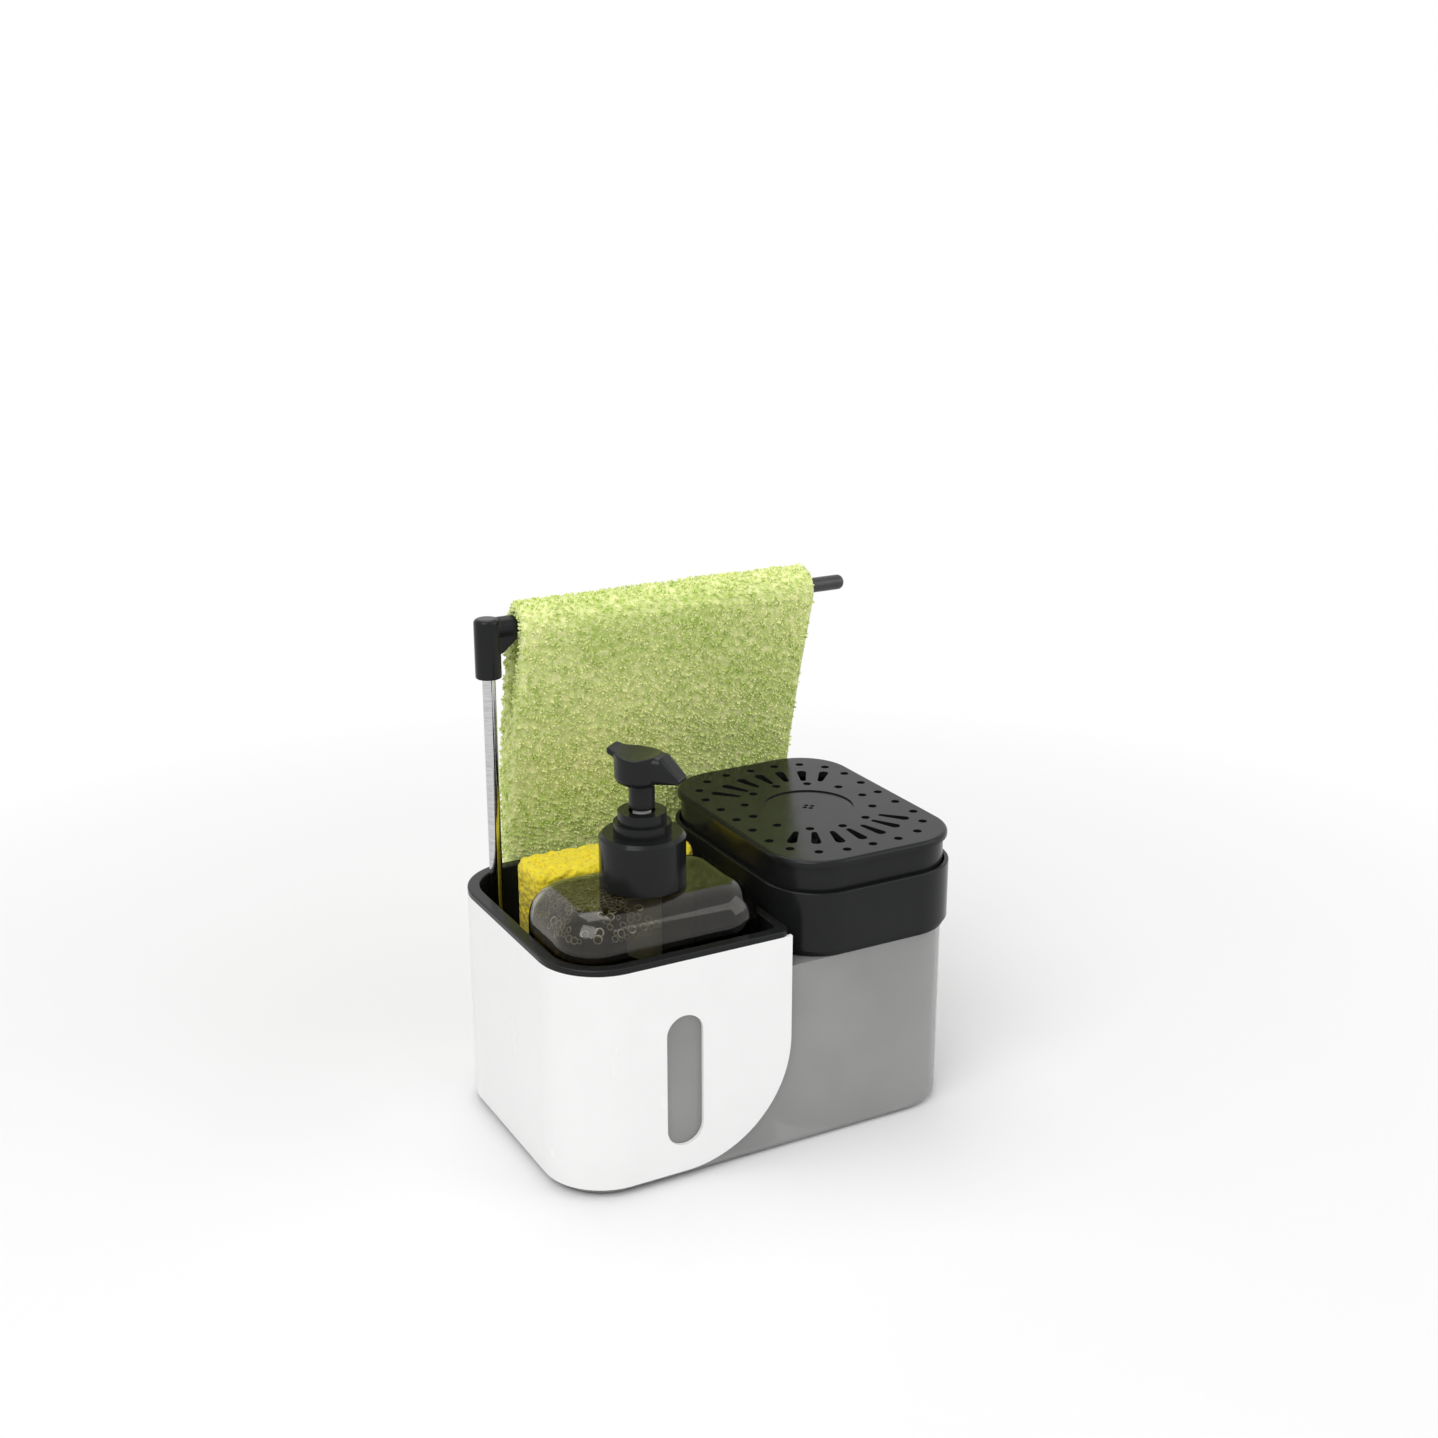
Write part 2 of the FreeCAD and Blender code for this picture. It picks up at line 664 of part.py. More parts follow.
def make_tray():
    """The perforated press tray: lip, guide skirt, dish, two fans of slots and two rows of holes."""
    body = new_body("press_tray")
    plate = new_sketch(body, "XY_Plane", "plate")
    draw_round_rect(plate, tray_width, tray_depth, tray_round)
    lip = pad(body, plate, tray_lip)
    fillet(body, lip, [level_face(lip, tray_lip.value)], tray_lip * 0.6)
    skirt_width = deck_width - 2 * skirt_inset
    skirt_length = body_depth - 2 * skirt_inset
    skirt_round = deck_round - skirt_inset
    skirt = new_sketch(body, "XY_Plane", "skirt")
    draw_round_rect(skirt, skirt_width, skirt_length, skirt_round)
    pad(body, skirt, skirt_depth, reverse=True)
    inside = new_sketch(body, "XY_Plane", "inside", z=-skirt_depth)
    inside_round = skirt_round - skirt_wall
    draw_round_rect(inside, skirt_width - 2 * skirt_wall, skirt_length - 2 * skirt_wall, inside_round)
    pocket(body, inside, skirt_depth, reverse=True)
    boss = new_sketch(body, "XY_Plane", "boss")
    pad(body, draw_circle(boss, nozzle_radius + running_gap + skirt_wall), tray_lip * 2, reverse=True)
    dish = new_sketch(body, "XY_Plane", "dish", z=tray_lip)
    pocket(body, draw_circle(dish, dish_radius), dish_depth)
    throat = new_sketch(body, "XY_Plane", "throat", z=tray_lip)
    pocket(body, draw_circle(throat, nozzle_radius + running_gap))
    rows = new_sketch(body, "XY_Plane", "rows", z=tray_lip)
    draw_outer_row(rows)
    pocket(body, rows, tray_lip)
    ring = new_sketch(body, "XY_Plane", "ring", z=tray_lip)
    draw_offset_circle(ring, ring_radius, hole_radius)
    ring_hole = pocket(body, ring, tray_lip)
    polar_pattern(body, ring_hole, ring, 360, 12)
    fan_step = 13.5
    fan_count = 7
    fan_spread = fan_step * (fan_count - 1)
    for name, middle in (("rear_fan", 0), ("front_fan", 180)):
        slot = new_sketch(body, "XY_Plane", name, z=tray_lip, turn=middle - fan_spread / 2)
        draw_teardrop(slot)
        first_slot = pocket(body, slot, tray_lip)
        polar_pattern(body, first_slot, slot, fan_spread, fan_count)
    place(body, deck_middle, 0, tray_under)
    return hand_in(body, "press_tray")


def draw_offset_circle(sketch, distance, radius):
    up = FreeCAD.Vector(0, 0, 1)
    centre = FreeCAD.Vector(0, distance.value, 0)
    sketch.addGeometry(Part.Circle(centre, up, radius.value), False)
    sketch.addConstraint(Sketcher.Constraint("PointOnObject", 0, 3, -2))
    dimension(sketch, "DistanceY", -1, 1, 0, 3, distance)
    dimension(sketch, "Radius", 0, radius)


def draw_teardrop(sketch):
    """One slot that broadens outwards, along the sketch's own upright axis."""
    up = FreeCAD.Vector(0, 0, 1)
    lean = math.asin((slot_broad.value - slot_narrow.value) / (slot_outer.value - slot_inner.value))

    def rim_point(centre, radius, side):
        across = side * radius * math.cos(lean)
        return FreeCAD.Vector(across, centre - radius * math.sin(lean), 0)

    broad = Part.Circle(FreeCAD.Vector(0, slot_outer.value, 0), up, slot_broad.value)
    narrow = Part.Circle(FreeCAD.Vector(0, slot_inner.value, 0), up, slot_narrow.value)
    sketch.addGeometry(Part.ArcOfCircle(broad, -lean, math.pi + lean), False)
    left_top = rim_point(slot_outer.value, slot_broad.value, -1)
    left_foot = rim_point(slot_inner.value, slot_narrow.value, -1)
    sketch.addGeometry(Part.LineSegment(left_top, left_foot), False)
    sketch.addGeometry(Part.ArcOfCircle(narrow, math.pi + lean, 2 * math.pi - lean), False)
    right_top = rim_point(slot_outer.value, slot_broad.value, 1)
    right_foot = rim_point(slot_inner.value, slot_narrow.value, 1)
    sketch.addGeometry(Part.LineSegment(right_foot, right_top), False)
    for first, second in ((0, 1), (1, 2), (2, 3), (3, 0)):
        sketch.addConstraint(Sketcher.Constraint("Tangent", first, 2, second, 1))
    for arc in (0, 2):
        sketch.addConstraint(Sketcher.Constraint("PointOnObject", arc, 3, -2))
    dimension(sketch, "DistanceY", -1, 1, 0, 3, slot_outer)
    dimension(sketch, "DistanceY", -1, 1, 2, 3, slot_inner)
    dimension(sketch, "Radius", 0, slot_broad)
    dimension(sketch, "Radius", 2, slot_narrow)


def draw_outer_row(sketch):
    """Round holes that follow the tray's own outline."""
    up = FreeCAD.Vector(0, 0, 1)
    half_w = (tray_width / 2 - row_margin_side).value
    half_d = (tray_depth / 2 - row_margin_end).value
    corner_x = half_w - row_round.value
    corner_y = half_d - row_round.value
    spots = []
    for side in (-1, 1):
        for end in (-1, 1):
            for step in range(4):
                angle = math.radians(30 * step)
                x = corner_x + row_round.value * math.cos(angle)
                y = corner_y + row_round.value * math.sin(angle)
                spots.append((side * x, end * y))
        for part in (-1, 0, 1):
            spots.append((side * half_w, part * corner_y / 2))
        spots.append((0, side * half_d))
    for index, (x, y) in enumerate(spots):
        sketch.addGeometry(Part.Circle(FreeCAD.Vector(x, y, 0), up, hole_radius.value), False)
        if index:
            sketch.addConstraint(Sketcher.Constraint("Equal", 0, index))
    dimension(sketch, "Radius", 0, hole_radius)


def make_nozzle():
    """The little rose in the middle of the tray that lets the soap out."""
    body = new_body("soap_nozzle")
    height = tray_lip * 2
    pad(body, draw_circle(new_sketch(body, "XY_Plane", "plug"), nozzle_radius), height)
    cup = new_sketch(body, "XY_Plane", "cup")
    pocket(body, draw_circle(cup, plunger_bore), tray_lip, reverse=True)
    jet = new_sketch(body, "XY_Plane", "jet", z=height)
    draw_offset_circle(jet, plunger_bore, nozzle_jet)
    jet_hole = pocket(body, jet, height - tray_lip + nozzle_jet)
    polar_pattern(body, jet_hole, jet, 360, 4)
    place(body, deck_middle, 0, tray_top - dish_depth - height)
    return hand_in(body, "soap_nozzle")


def make_press_pump():
    """Barrel, nut, plunger, piston, foot valve and suction tube under the press tray."""
    barrel_height = barrel_top + barrel_flange_thick - barrel_bottom
    barrel_outer = barrel_bore + barrel_wall
    under_flange = barrel_height - barrel_flange_thick
    turned("pump_barrel", [
        (tube_radius + running_gap, 0), (barrel_outer, 0), (barrel_outer, under_flange),
        (barrel_flange, under_flange), (barrel_flange, barrel_height), (barrel_bore, barrel_height),
        (barrel_bore, barrel_floor), (tube_radius + running_gap, barrel_floor)],
        deck_middle, 0, barrel_bottom)
    turned("barrel_nut", tube_profile(barrel_outer + running_gap, nut_radius, nut_height),
           deck_middle, 0, deck_floor - nut_height)
    nozzle_foot = tray_top - dish_depth - tray_lip * 2
    plunger_foot = piston_start + piston_height
    turned("plunger", tube_profile(plunger_bore, plunger_radius, nozzle_foot - plunger_foot),
           deck_middle, 0, plunger_foot)
    piston_radius = barrel_bore - running_gap
    waist = piston_radius - barrel_wall
    lip = piston_height / 4
    turned("piston_cup", [
        (plunger_bore, 0), (piston_radius, 0), (piston_radius, lip), (waist, lip * 1.5),
        (waist, piston_height - lip * 1.5), (piston_radius, piston_height - lip),
        (piston_radius, piston_height), (plunger_bore, piston_height)],
        deck_middle, 0, piston_start)
    tube_top = barrel_bottom + barrel_floor
    tube_start = tank_inside + tube_foot
    turned("suction_tube", tube_profile(tube_bore, tube_radius, tube_top - tube_start),
           deck_middle, 0, tube_start)
    ball = doc.addObject("Part::Sphere", "foot_valve_ball")
    bind(ball, "Radius", valve_ball)
    place(ball, deck_middle, 0, tube_top + ball_seat(valve_ball, tube_bore))
    hand_in(ball, "foot_valve_ball")
    rest = piston_start - tube_top
    make_spring("tray_spring", tray_spring_radius, tray_spring_wire, rest, 5, deck_middle, 0, tube_top)


def make_spring(label, radius, wire, height, turns, x, y, z):
    """A coil spring between two seats: a six-sided wire swept along quarter-turn arcs."""
    clear = 0.15
    usable = height.value - 2 * (wire.value + clear)
    steps = turns * 4
    rise = usable / steps

    def at(step):
        angle = step * math.pi / 2
        level = wire.value + clear + rise * step
        return FreeCAD.Vector(radius.value * math.cos(angle), radius.value * math.sin(angle), level)

    arcs = []
    for step in range(steps):
        arcs.append(Part.Arc(at(step), at(step + 0.5), at(step + 1)).toShape())
    path = Part.Wire(arcs)
    along = FreeCAD.Vector(0, radius.value * math.pi / 2, rise).normalize()
    out = FreeCAD.Vector(1, 0, 0)
    up = along.cross(out)
    corners = []
    for side in range(7):
        angle = math.radians(60 * side)
        corners.append(at(0) + out * (wire.value * math.cos(angle)) + up * (wire.value * math.sin(angle)))
    ring = Part.makePolygon(corners)
    shape = path.makePipeShell([ring], True, False)
    spring = doc.addObject("Part::Feature", label)
    spring.Shape = shape
    place(spring, x, y, z)
    per_turn = 24
    points = [at(4 * index / per_turn) for index in range(turns * per_turn + 1)]
    pairs = [(one, two) for index, one in enumerate(points) for two in points[index + per_turn // 2:]]
    least = min(one.distanceToPoint(two) for one, two in pairs) - 2 * wire.value
    print("%s least gap to itself %.2f mm" % (label, least))
    return hand_in(spring, label)


def make_block(name, width, depth, rounding, bottom, top, foot_round, top_round, throat, throat_top):
    """A rounded block with a soft shoulder and a round neck, used for the bottle's skin and its inside."""
    body = new_body(name)
    outline = new_sketch(body, "XY_Plane", "outline")
    draw_round_rect(outline, width, depth, rounding)
    block = pad(body, outline, top - bottom)
    soft_top = fillet(body, block, [level_face(block, (top - bottom).value)], top_round)
    fillet(body, soft_top, [level_face(soft_top, 0)], foot_round)
    neck = new_sketch(body, "XY_Plane", "neck", z=(top - bottom) / 2)
    pad(body, draw_circle(neck, throat), throat_top - (top + bottom) / 2)
    place(body, bottle_x, bottle_y, bottom)
    return body


def make_bottle():
    """The smoky bottle, hollow and open at its neck."""
    skin = make_block("bottle_skin", bottle_width, bottle_depth, bottle_round, bin_floor, shoulder_top,
                      base_round, shoulder_round, neck_radius, neck_top)
    inside = make_block("bottle_inside", bottle_width - 2 * bottle_wall, bottle_depth - 2 * bottle_wall,
                        bottle_round - bottle_wall, bin_floor + bottle_wall, shoulder_top - bottle_wall,
                        base_round - bottle_wall, shoulder_round - bottle_wall, neck_bore, neck_top + 1)
    bottle = doc.addObject("Part::Cut", "bottle")
    bottle.Base = skin
    bottle.Tool = inside
    return hand_in(bottle, "bottle")


def make_lotion_pump():
    """The bottle's pump: closure, chaplet, gasket, housing, spring, valve, stem, piston and head."""
    where = (bottle_x, bottle_y)
    inner = closure_radius - closure_wall
    cap_hole = head_skirt + running_gap * 4
    plate_under = closure_height - closure_wall
    turned("pump_closure", [
        (inner, 0), (closure_radius, 0), (closure_radius, closure_height - closure_edge),
        (closure_radius - closure_edge, closure_height), (housing_bore, closure_height),
        (housing_bore, plate_under), (inner, plate_under)], *where, closure_bottom)
    tier = chaplet_height / 2
    turned("pump_chaplet", [
        (cap_hole, 0), (chaplet_radius, 0), (chaplet_radius, tier), (chaplet_radius - chaplet_step, tier),
        (chaplet_radius - chaplet_step, chaplet_height), (cap_hole, chaplet_height)], *where, closure_top)
    turned("neck_gasket", tube_profile(neck_bore, neck_radius - drop_gap, gasket_thick), *where, neck_top)
    outer = housing_bore + housing_wall
    under = housing_length
    turned("pump_housing", [
        (dip_radius + running_gap, 0), (outer, 0), (outer, under), (housing_flange, under),
        (housing_flange, under + flange_thick), (housing_bore, under + flange_thick),
        (housing_bore, housing_floor), (dip_radius + running_gap, housing_floor)], *where, housing_bottom)
    tube_top = housing_bottom + housing_floor
    tube_start = bin_floor + bottle_wall + dip_foot
    turned("dip_tube", tube_profile(dip_bore, dip_radius, tube_top - tube_start), *where, tube_start)
    ball = doc.addObject("Part::Sphere", "inlet_ball")
    bind(ball, "Radius", pump_ball)
    place(ball, *where, tube_top + ball_seat(pump_ball, dip_bore))
    hand_in(ball, "inlet_ball")
    piston_foot = tube_top + pump_ball * 2 + head_travel + piston_room
    make_spring("pump_spring", pump_spring_radius, pump_spring_wire, piston_foot - tube_top, 5,
                *where, tube_top)
    piston_length = stem_radius * 2
    turned("pump_piston", tube_profile(stem_bore, housing_bore - running_gap, piston_length),
           *where, piston_foot)
    stem_foot = piston_foot + piston_length
    turned("pump_stem", tube_profile(stem_bore, stem_radius, head_bottom + head_height / 2 - stem_foot),
           *where, stem_foot)
    make_head(where)


def make_head(where):
    """The pump's head: a drum over the stem, a thumb lip behind, a beak in front and a finger saddle."""
    body = new_body("pump_head")
    barrel = new_sketch(body, "XY_Plane", "barrel", x=-head_back, z=skirt_drop)
    drum = pad(body, draw_circle(barrel, head_radius), head_height)
    fillet(body, drum, [level_face(drum, skirt_drop.value)], head_radius * 0.36)
    neck = new_sketch(body, "XY_Plane", "neck")
    pad(body, draw_circle(neck, head_skirt), skirt_drop + head_height / 2)
    low = head_height * 0.07
    brow = head_height * 0.86
    slope_start = spout_reach - head_height * 0.52
    brow_cut = (slope_start, spout_width * 1.4, low * 1.3, brow)
    beak(body, "beak_root", (0, spout_width * 1.7, low, brow), brow_cut)
    tip = (spout_reach, spout_width, low * 2.4, head_height * 0.3)
    beak(body, "beak_nose", brow_cut, tip)
    lip_edge = (lip_reach, spout_width * 1.1, head_height * 0.78, head_height)
    beak(body, "lip", (0, spout_width * 1.7, head_height * 0.5, head_height), lip_edge, -1)
    saddle = new_sketch(body, "XZ_Plane", "saddle", y=skirt_drop + head_height - saddle_depth + saddle_round)
    cut = pocket(body, draw_circle(saddle, saddle_round))
    cut.Midplane = True
    socket = new_sketch(body, "XY_Plane", "socket")
    pocket(body, draw_circle(socket, stem_radius + running_gap), skirt_drop + head_height / 2, reverse=True)
    outlet = new_sketch(body, "XY_Plane", "outlet", x=spout_reach * 0.84, z=skirt_drop)
    pocket(body, draw_circle(outlet, stem_bore), head_height * 0.25, reverse=True)
    place(body, *where, head_bottom - skirt_drop)
    bind(body, "Placement.Rotation.Angle", spout_turn)
    return hand_in(body, "pump_head")


def beak(body, name, root, tip, way=1):
    """A tapering nose between two cuts, each a distance from the pump's axis, a width, a foot and a top."""
    cuts = []
    for end, (distance, width, foot, top) in (("root", root), ("tip", tip)):
        height = top - foot
        sketch = new_sketch(body, "YZ_Plane", name + "_" + end, y=skirt_drop + (foot + top) / 2,
                            z=as_size(distance) * way)
        cuts.append(draw_round_rect(sketch, width, height, height * 0.3))
    nose = body.newObject("PartDesign::AdditiveLoft", "pump_head_" + name)
    nose.Profile = cuts[0]
    nose.Sections = [cuts[1]]
    nose.Ruled = True
    return nose


def make_rail():
    """Steel post, black elbow and the towel bar that it carries out over the caddy's back edge."""
    post_top = bar_height - elbow_arm
    turned("rail_post", tube_profile(post_bore, post_radius, post_top - post_foot), post_x, post_y, post_foot)
    body = new_body("rail_elbow")
    leg_top = elbow_drop + elbow_arm
    leg = new_sketch(body, "XY_Plane", "leg")
    leg_pad = pad(body, draw_circle(leg, elbow_leg), leg_top)
    fillet(body, leg_pad, [level_face(leg_pad, leg_top.value)], elbow_leg / 3)
    arm = new_sketch(body, "YZ_Plane", "arm", y=elbow_drop)
    pad(body, draw_circle(arm, elbow_arm), elbow_reach)
    web = new_sketch(body, "XZ_Plane", "web", z=-elbow_web)
    web_foot = elbow_drop - elbow_arm - elbow_leg
    draw_profile(web, [
        (0, web_foot), (elbow_leg, web_foot), (elbow_reach, elbow_drop - elbow_arm),
        (elbow_reach, elbow_drop), (0, elbow_drop)])
    pad(body, web, elbow_web * 2)
    post_hole = new_sketch(body, "XY_Plane", "post_hole")
    pocket(body, draw_circle(post_hole, post_radius + running_gap), post_top - bar_height + elbow_drop,
           reverse=True)
    bar_hole = new_sketch(body, "YZ_Plane", "bar_hole", y=elbow_drop, z=elbow_reach)
    pocket(body, draw_circle(bar_hole, bar_radius + running_gap), elbow_reach)
    place(body, post_x, post_y, bar_height - elbow_drop)
    hand_in(body, "rail_elbow")
    bar = new_body("towel_bar")
    section = new_sketch(bar, "YZ_Plane", "section")
    rod = pad(bar, draw_circle(section, bar_radius), bar_length)
    doc.recompute()
    end = rod.Length.Value - 1e-3
    tip = [index for index, face in enumerate(rod.Shape.Faces) if face.BoundBox.XMin > end]
    fillet(bar, rod, ["Face%d" % (tip[0] + 1)], bar_radius * 0.8)
    place(bar, post_x, post_y, bar_height)
    hand_in(bar, "towel_bar")


def make_sponge():
    """A cellulose sponge stood on end in the bin."""
    body = new_body("sponge")
    outline = new_sketch(body, "XY_Plane", "outline")
    draw_round_rect(outline, sponge_width, sponge_thick, sponge_round)
    block = pad(body, outline, sponge_height)
    top = fillet(body, block, [level_face(block, sponge_height.value)], sponge_round * 0.6)
    fillet(body, top, [level_face(top, 0)], sponge_round * 0.6)
    place(body, sponge_left + sponge_width / 2, sponge_back - sponge_thick / 2, bin_floor + drop_gap)
    return hand_in(body, "sponge")


def make_towel():
    """A folded hand towel over the bar: its panels sway back in soft folds behind the tray's rear edge."""
    inner = (bar_radius + towel_gap).value
    thick = towel_thick.value
    outer = inner + thick
    bend = (tray_top + bend_rise - bar_height).value
    front_y = (half_depth + towel_back_gap - post_y).value
    rear_y = front_y + thick + towel_gap.value
    lean = towel_lean(outer, front_y, bend)
    sections = []
    steps = 8
    folds = 2
    for step in range(steps + 1):
        x = towel_width.value * step / steps
        sway = towel_sway.value * (1 - math.cos(2 * math.pi * folds * step / steps)) / 2
        sections.append(towel_section(x, sway, lean, inner, outer, bend, front_y, rear_y))
    towel = doc.addObject("Part::Feature", "towel")
    towel.Shape = Part.makeLoft(sections, True, False)
    place(towel, post_x + elbow_reach + towel_gap, post_y, bar_height)
    return hand_in(towel, "towel")


def towel_section(x, sway, lean, inner, outer, bend, front_y, rear_y):
    """One cut across the towel: up the front panel, over the bar and down the rear panel."""
    thick = outer - inner
    bend_sway = sway * 0.3

    def at(y, z):
        return FreeCAD.Vector(x, y, z)

    def round_bar(radius, degrees):
        turn = math.radians(degrees) - lean
        return at(-radius * math.cos(turn), radius * math.sin(turn))

    def quarter(radius, start, end):
        middle = round_bar(radius, (start + end) / 2)
        return Part.Arc(round_bar(radius, start), middle, round_bar(radius, end)).toShape()

    front_hem = -towel_front.value
    rear_hem = -towel_rear.value
    outer_front = at(front_y + bend_sway, bend)
    inner_front = at(front_y + thick + bend_sway, bend)
    inner_rear = at(rear_y + bend_sway, bend)
    outer_rear = at(rear_y + thick + bend_sway, bend)
    front_foot = at(front_y + sway, front_hem)
    front_foot_back = at(front_y + thick + sway, front_hem)
    rear_foot = at(rear_y + sway, rear_hem)
    rear_foot_back = at(rear_y + thick + sway, rear_hem)
    edges = [
        Part.makeLine(front_foot, outer_front),
        Part.makeLine(outer_front, round_bar(outer, 0)),
        quarter(outer, 0, 90),
        quarter(outer, 90, 180),
        Part.makeLine(round_bar(outer, 180), outer_rear),
        Part.makeLine(outer_rear, rear_foot_back),
        Part.makeLine(rear_foot_back, rear_foot),
        Part.makeLine(rear_foot, inner_rear),
        Part.makeLine(inner_rear, round_bar(inner, 180)),
        quarter(inner, 180, 90),
        quarter(inner, 90, 0),
        Part.makeLine(round_bar(inner, 0), inner_front),
        Part.makeLine(inner_front, front_foot_back),
        Part.makeLine(front_foot_back, front_foot),
    ]
    return Part.Wire(edges)


def towel_lean(reach, back, drop):
    """The angle at which a panel that is tangent to the towel's top reaches the tray's rear edge."""
    distance = math.hypot(back, drop)
    return math.asin(reach / distance) - math.atan2(-back, -drop)


def export_pieces():
    doc.recompute()
    for item in doc.Objects:
        if "Invalid" in item.State or "Error" in item.State:
            raise RuntimeError("%s did not build: %s" % (item.Name, item.State))
    os.makedirs("parts", exist_ok=True)
    for item in handed_in:
        if item.Shape.isNull() or not item.Shape.isValid():
            raise RuntimeError("%s has no sound shape" % item.Label)
        item.Shape.exportStep(os.path.join("parts", item.Label + ".step"))
        print("%-16s %9.1f mm3" % (item.Label, item.Shape.Volume))


sheet.recompute()
make_tank()
make_feet()
make_sleeve()
make_liner()
make_deck()
make_deck_seal()
make_tray()
make_nozzle()
make_press_pump()
make_bottle()
make_lotion_pump()
make_rail()
make_sponge()
make_towel()
export_pieces()
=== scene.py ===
"""Looks for the soap pump caddy: its finishes, towel, sponge, foam and stage."""

import math

import bmesh
import bpy
from mathutils import Euler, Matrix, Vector, noise


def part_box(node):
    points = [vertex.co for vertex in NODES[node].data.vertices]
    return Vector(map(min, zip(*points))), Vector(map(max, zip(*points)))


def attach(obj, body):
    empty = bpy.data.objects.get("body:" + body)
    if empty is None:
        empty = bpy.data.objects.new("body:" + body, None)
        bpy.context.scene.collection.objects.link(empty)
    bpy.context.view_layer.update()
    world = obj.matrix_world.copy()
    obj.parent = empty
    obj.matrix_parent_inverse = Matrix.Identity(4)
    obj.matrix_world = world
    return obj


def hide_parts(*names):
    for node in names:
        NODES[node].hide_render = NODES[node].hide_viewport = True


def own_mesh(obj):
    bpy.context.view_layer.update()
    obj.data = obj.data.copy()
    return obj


bl_info = {
    "name": "Soap Pump Caddy",
    "version": (1, 0, 0),
    "blender": (4, 5, 0),
    "location": "3D View > Sidebar > Caddy",
    "description": "Dresses the soap pump caddy with its finishes, towel, sponge, foam and stage",
    "category": "Object",
}

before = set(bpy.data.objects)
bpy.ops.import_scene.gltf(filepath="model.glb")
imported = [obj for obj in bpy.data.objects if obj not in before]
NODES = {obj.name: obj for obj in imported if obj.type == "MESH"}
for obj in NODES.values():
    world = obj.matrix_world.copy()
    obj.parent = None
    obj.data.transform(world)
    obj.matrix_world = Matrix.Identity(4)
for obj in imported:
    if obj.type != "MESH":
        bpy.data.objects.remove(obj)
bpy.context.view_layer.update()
MM = 0.001
MERGE_DISTANCE = 1e-6


class CaddyColours(bpy.types.PropertyGroup):
    """The caddy's colours, as scene-linear values."""

    shell_white: bpy.props.FloatVectorProperty(
        name="Shell white", description="White sleeve", subtype="COLOR",
        default=(0.93, 0.93, 0.925))
    black: bpy.props.FloatVectorProperty(
        name="Black", description="Black mouldings", subtype="COLOR",
        default=(0.012, 0.013, 0.0125))
    tank_smoke: bpy.props.FloatVectorProperty(
        name="Tank smoke", description="Smoky tank", subtype="COLOR",
        default=(0.36, 0.36, 0.355))
    bottle_smoke: bpy.props.FloatVectorProperty(
        name="Bottle smoke", description="Smoky bottle", subtype="COLOR",
        default=(0.30, 0.28, 0.205))
    # The two towel colours are painted light: shade between the loops and a highlight on their
    # tips.
    towel_painted_shade: bpy.props.FloatVectorProperty(
        name="Towel deep", description="Between the loops", subtype="COLOR",
        default=(0.48, 0.64, 0.12))
    towel_painted_highlight: bpy.props.FloatVectorProperty(
        name="Towel light", description="Tips of the loops", subtype="COLOR",
        default=(0.98, 1.00, 0.52))
    sponge_light: bpy.props.FloatVectorProperty(
        name="Sponge light", description="Sponge skin", subtype="COLOR",
        default=(0.93, 0.76, 0.040))
    # The second sponge colour is painted shade inside the pores.
    sponge_painted_shade: bpy.props.FloatVectorProperty(
        name="Sponge deep", description="Inside its pores", subtype="COLOR",
        default=(0.74, 0.50, 0.012))


class CaddySizes(bpy.types.PropertyGroup):
    """Sizes of the towel, the sponge and the foam, and how far the springs are pressed."""

    press_travel: bpy.props.FloatProperty(
        name="Press travel", description="How far the tray and the pump head go down",
        subtype="DISTANCE", default=10 * MM)
    towel_half: bpy.props.FloatProperty(
        name="Towel half", description="Half of the folded towel's thickness",
        subtype="DISTANCE", default=3.5 * MM)
    layer_offset: bpy.props.FloatProperty(
        name="Layer offset", description="Each towel layer's distance from the panel's middle",
        subtype="DISTANCE", default=1.6 * MM)
    layer_thick: bpy.props.FloatProperty(
        name="Layer thickness", description="One layer of the folded towel",
        subtype="DISTANCE", default=2.0 * MM)
    loop_length: bpy.props.FloatProperty(
        name="Loop length", description="How far a terry loop stands up",
        subtype="DISTANCE", default=1.2 * MM)
    loop_width: bpy.props.FloatProperty(
        name="Loop width", description="Half the width of a terry loop",
        subtype="DISTANCE", default=0.5 * MM)
    loop_density: bpy.props.FloatProperty(
        name="Loop density", description="Terry loops in a square metre", default=430000.0)
    hem_width: bpy.props.FloatProperty(
        name="Hem width", description="Woven band at the towel's ends",
        subtype="DISTANCE", default=11 * MM)
    pore_depth: bpy.props.FloatProperty(
        name="Pore depth", description="Depth of the sponge's large pores",
        subtype="DISTANCE", default=1.7 * MM)
    pore_pitch: bpy.props.FloatProperty(
        name="Pore pitch", description="Distance between large pores",
        subtype="DISTANCE", default=5.5 * MM)
    bubble_size: bpy.props.FloatProperty(
        name="Bubble size", description="Radius of a middling foam bubble",
        subtype="DISTANCE", default=1.3 * MM)
    foam_height: bpy.props.FloatProperty(
        name="Foam height", description="Depth of the foam below the bottle's shoulder",
        subtype="DISTANCE", default=11 * MM)


def colours():
    return bpy.context.scene.caddy_colours


def sizes():
    return bpy.context.scene.caddy_sizes


# Materials


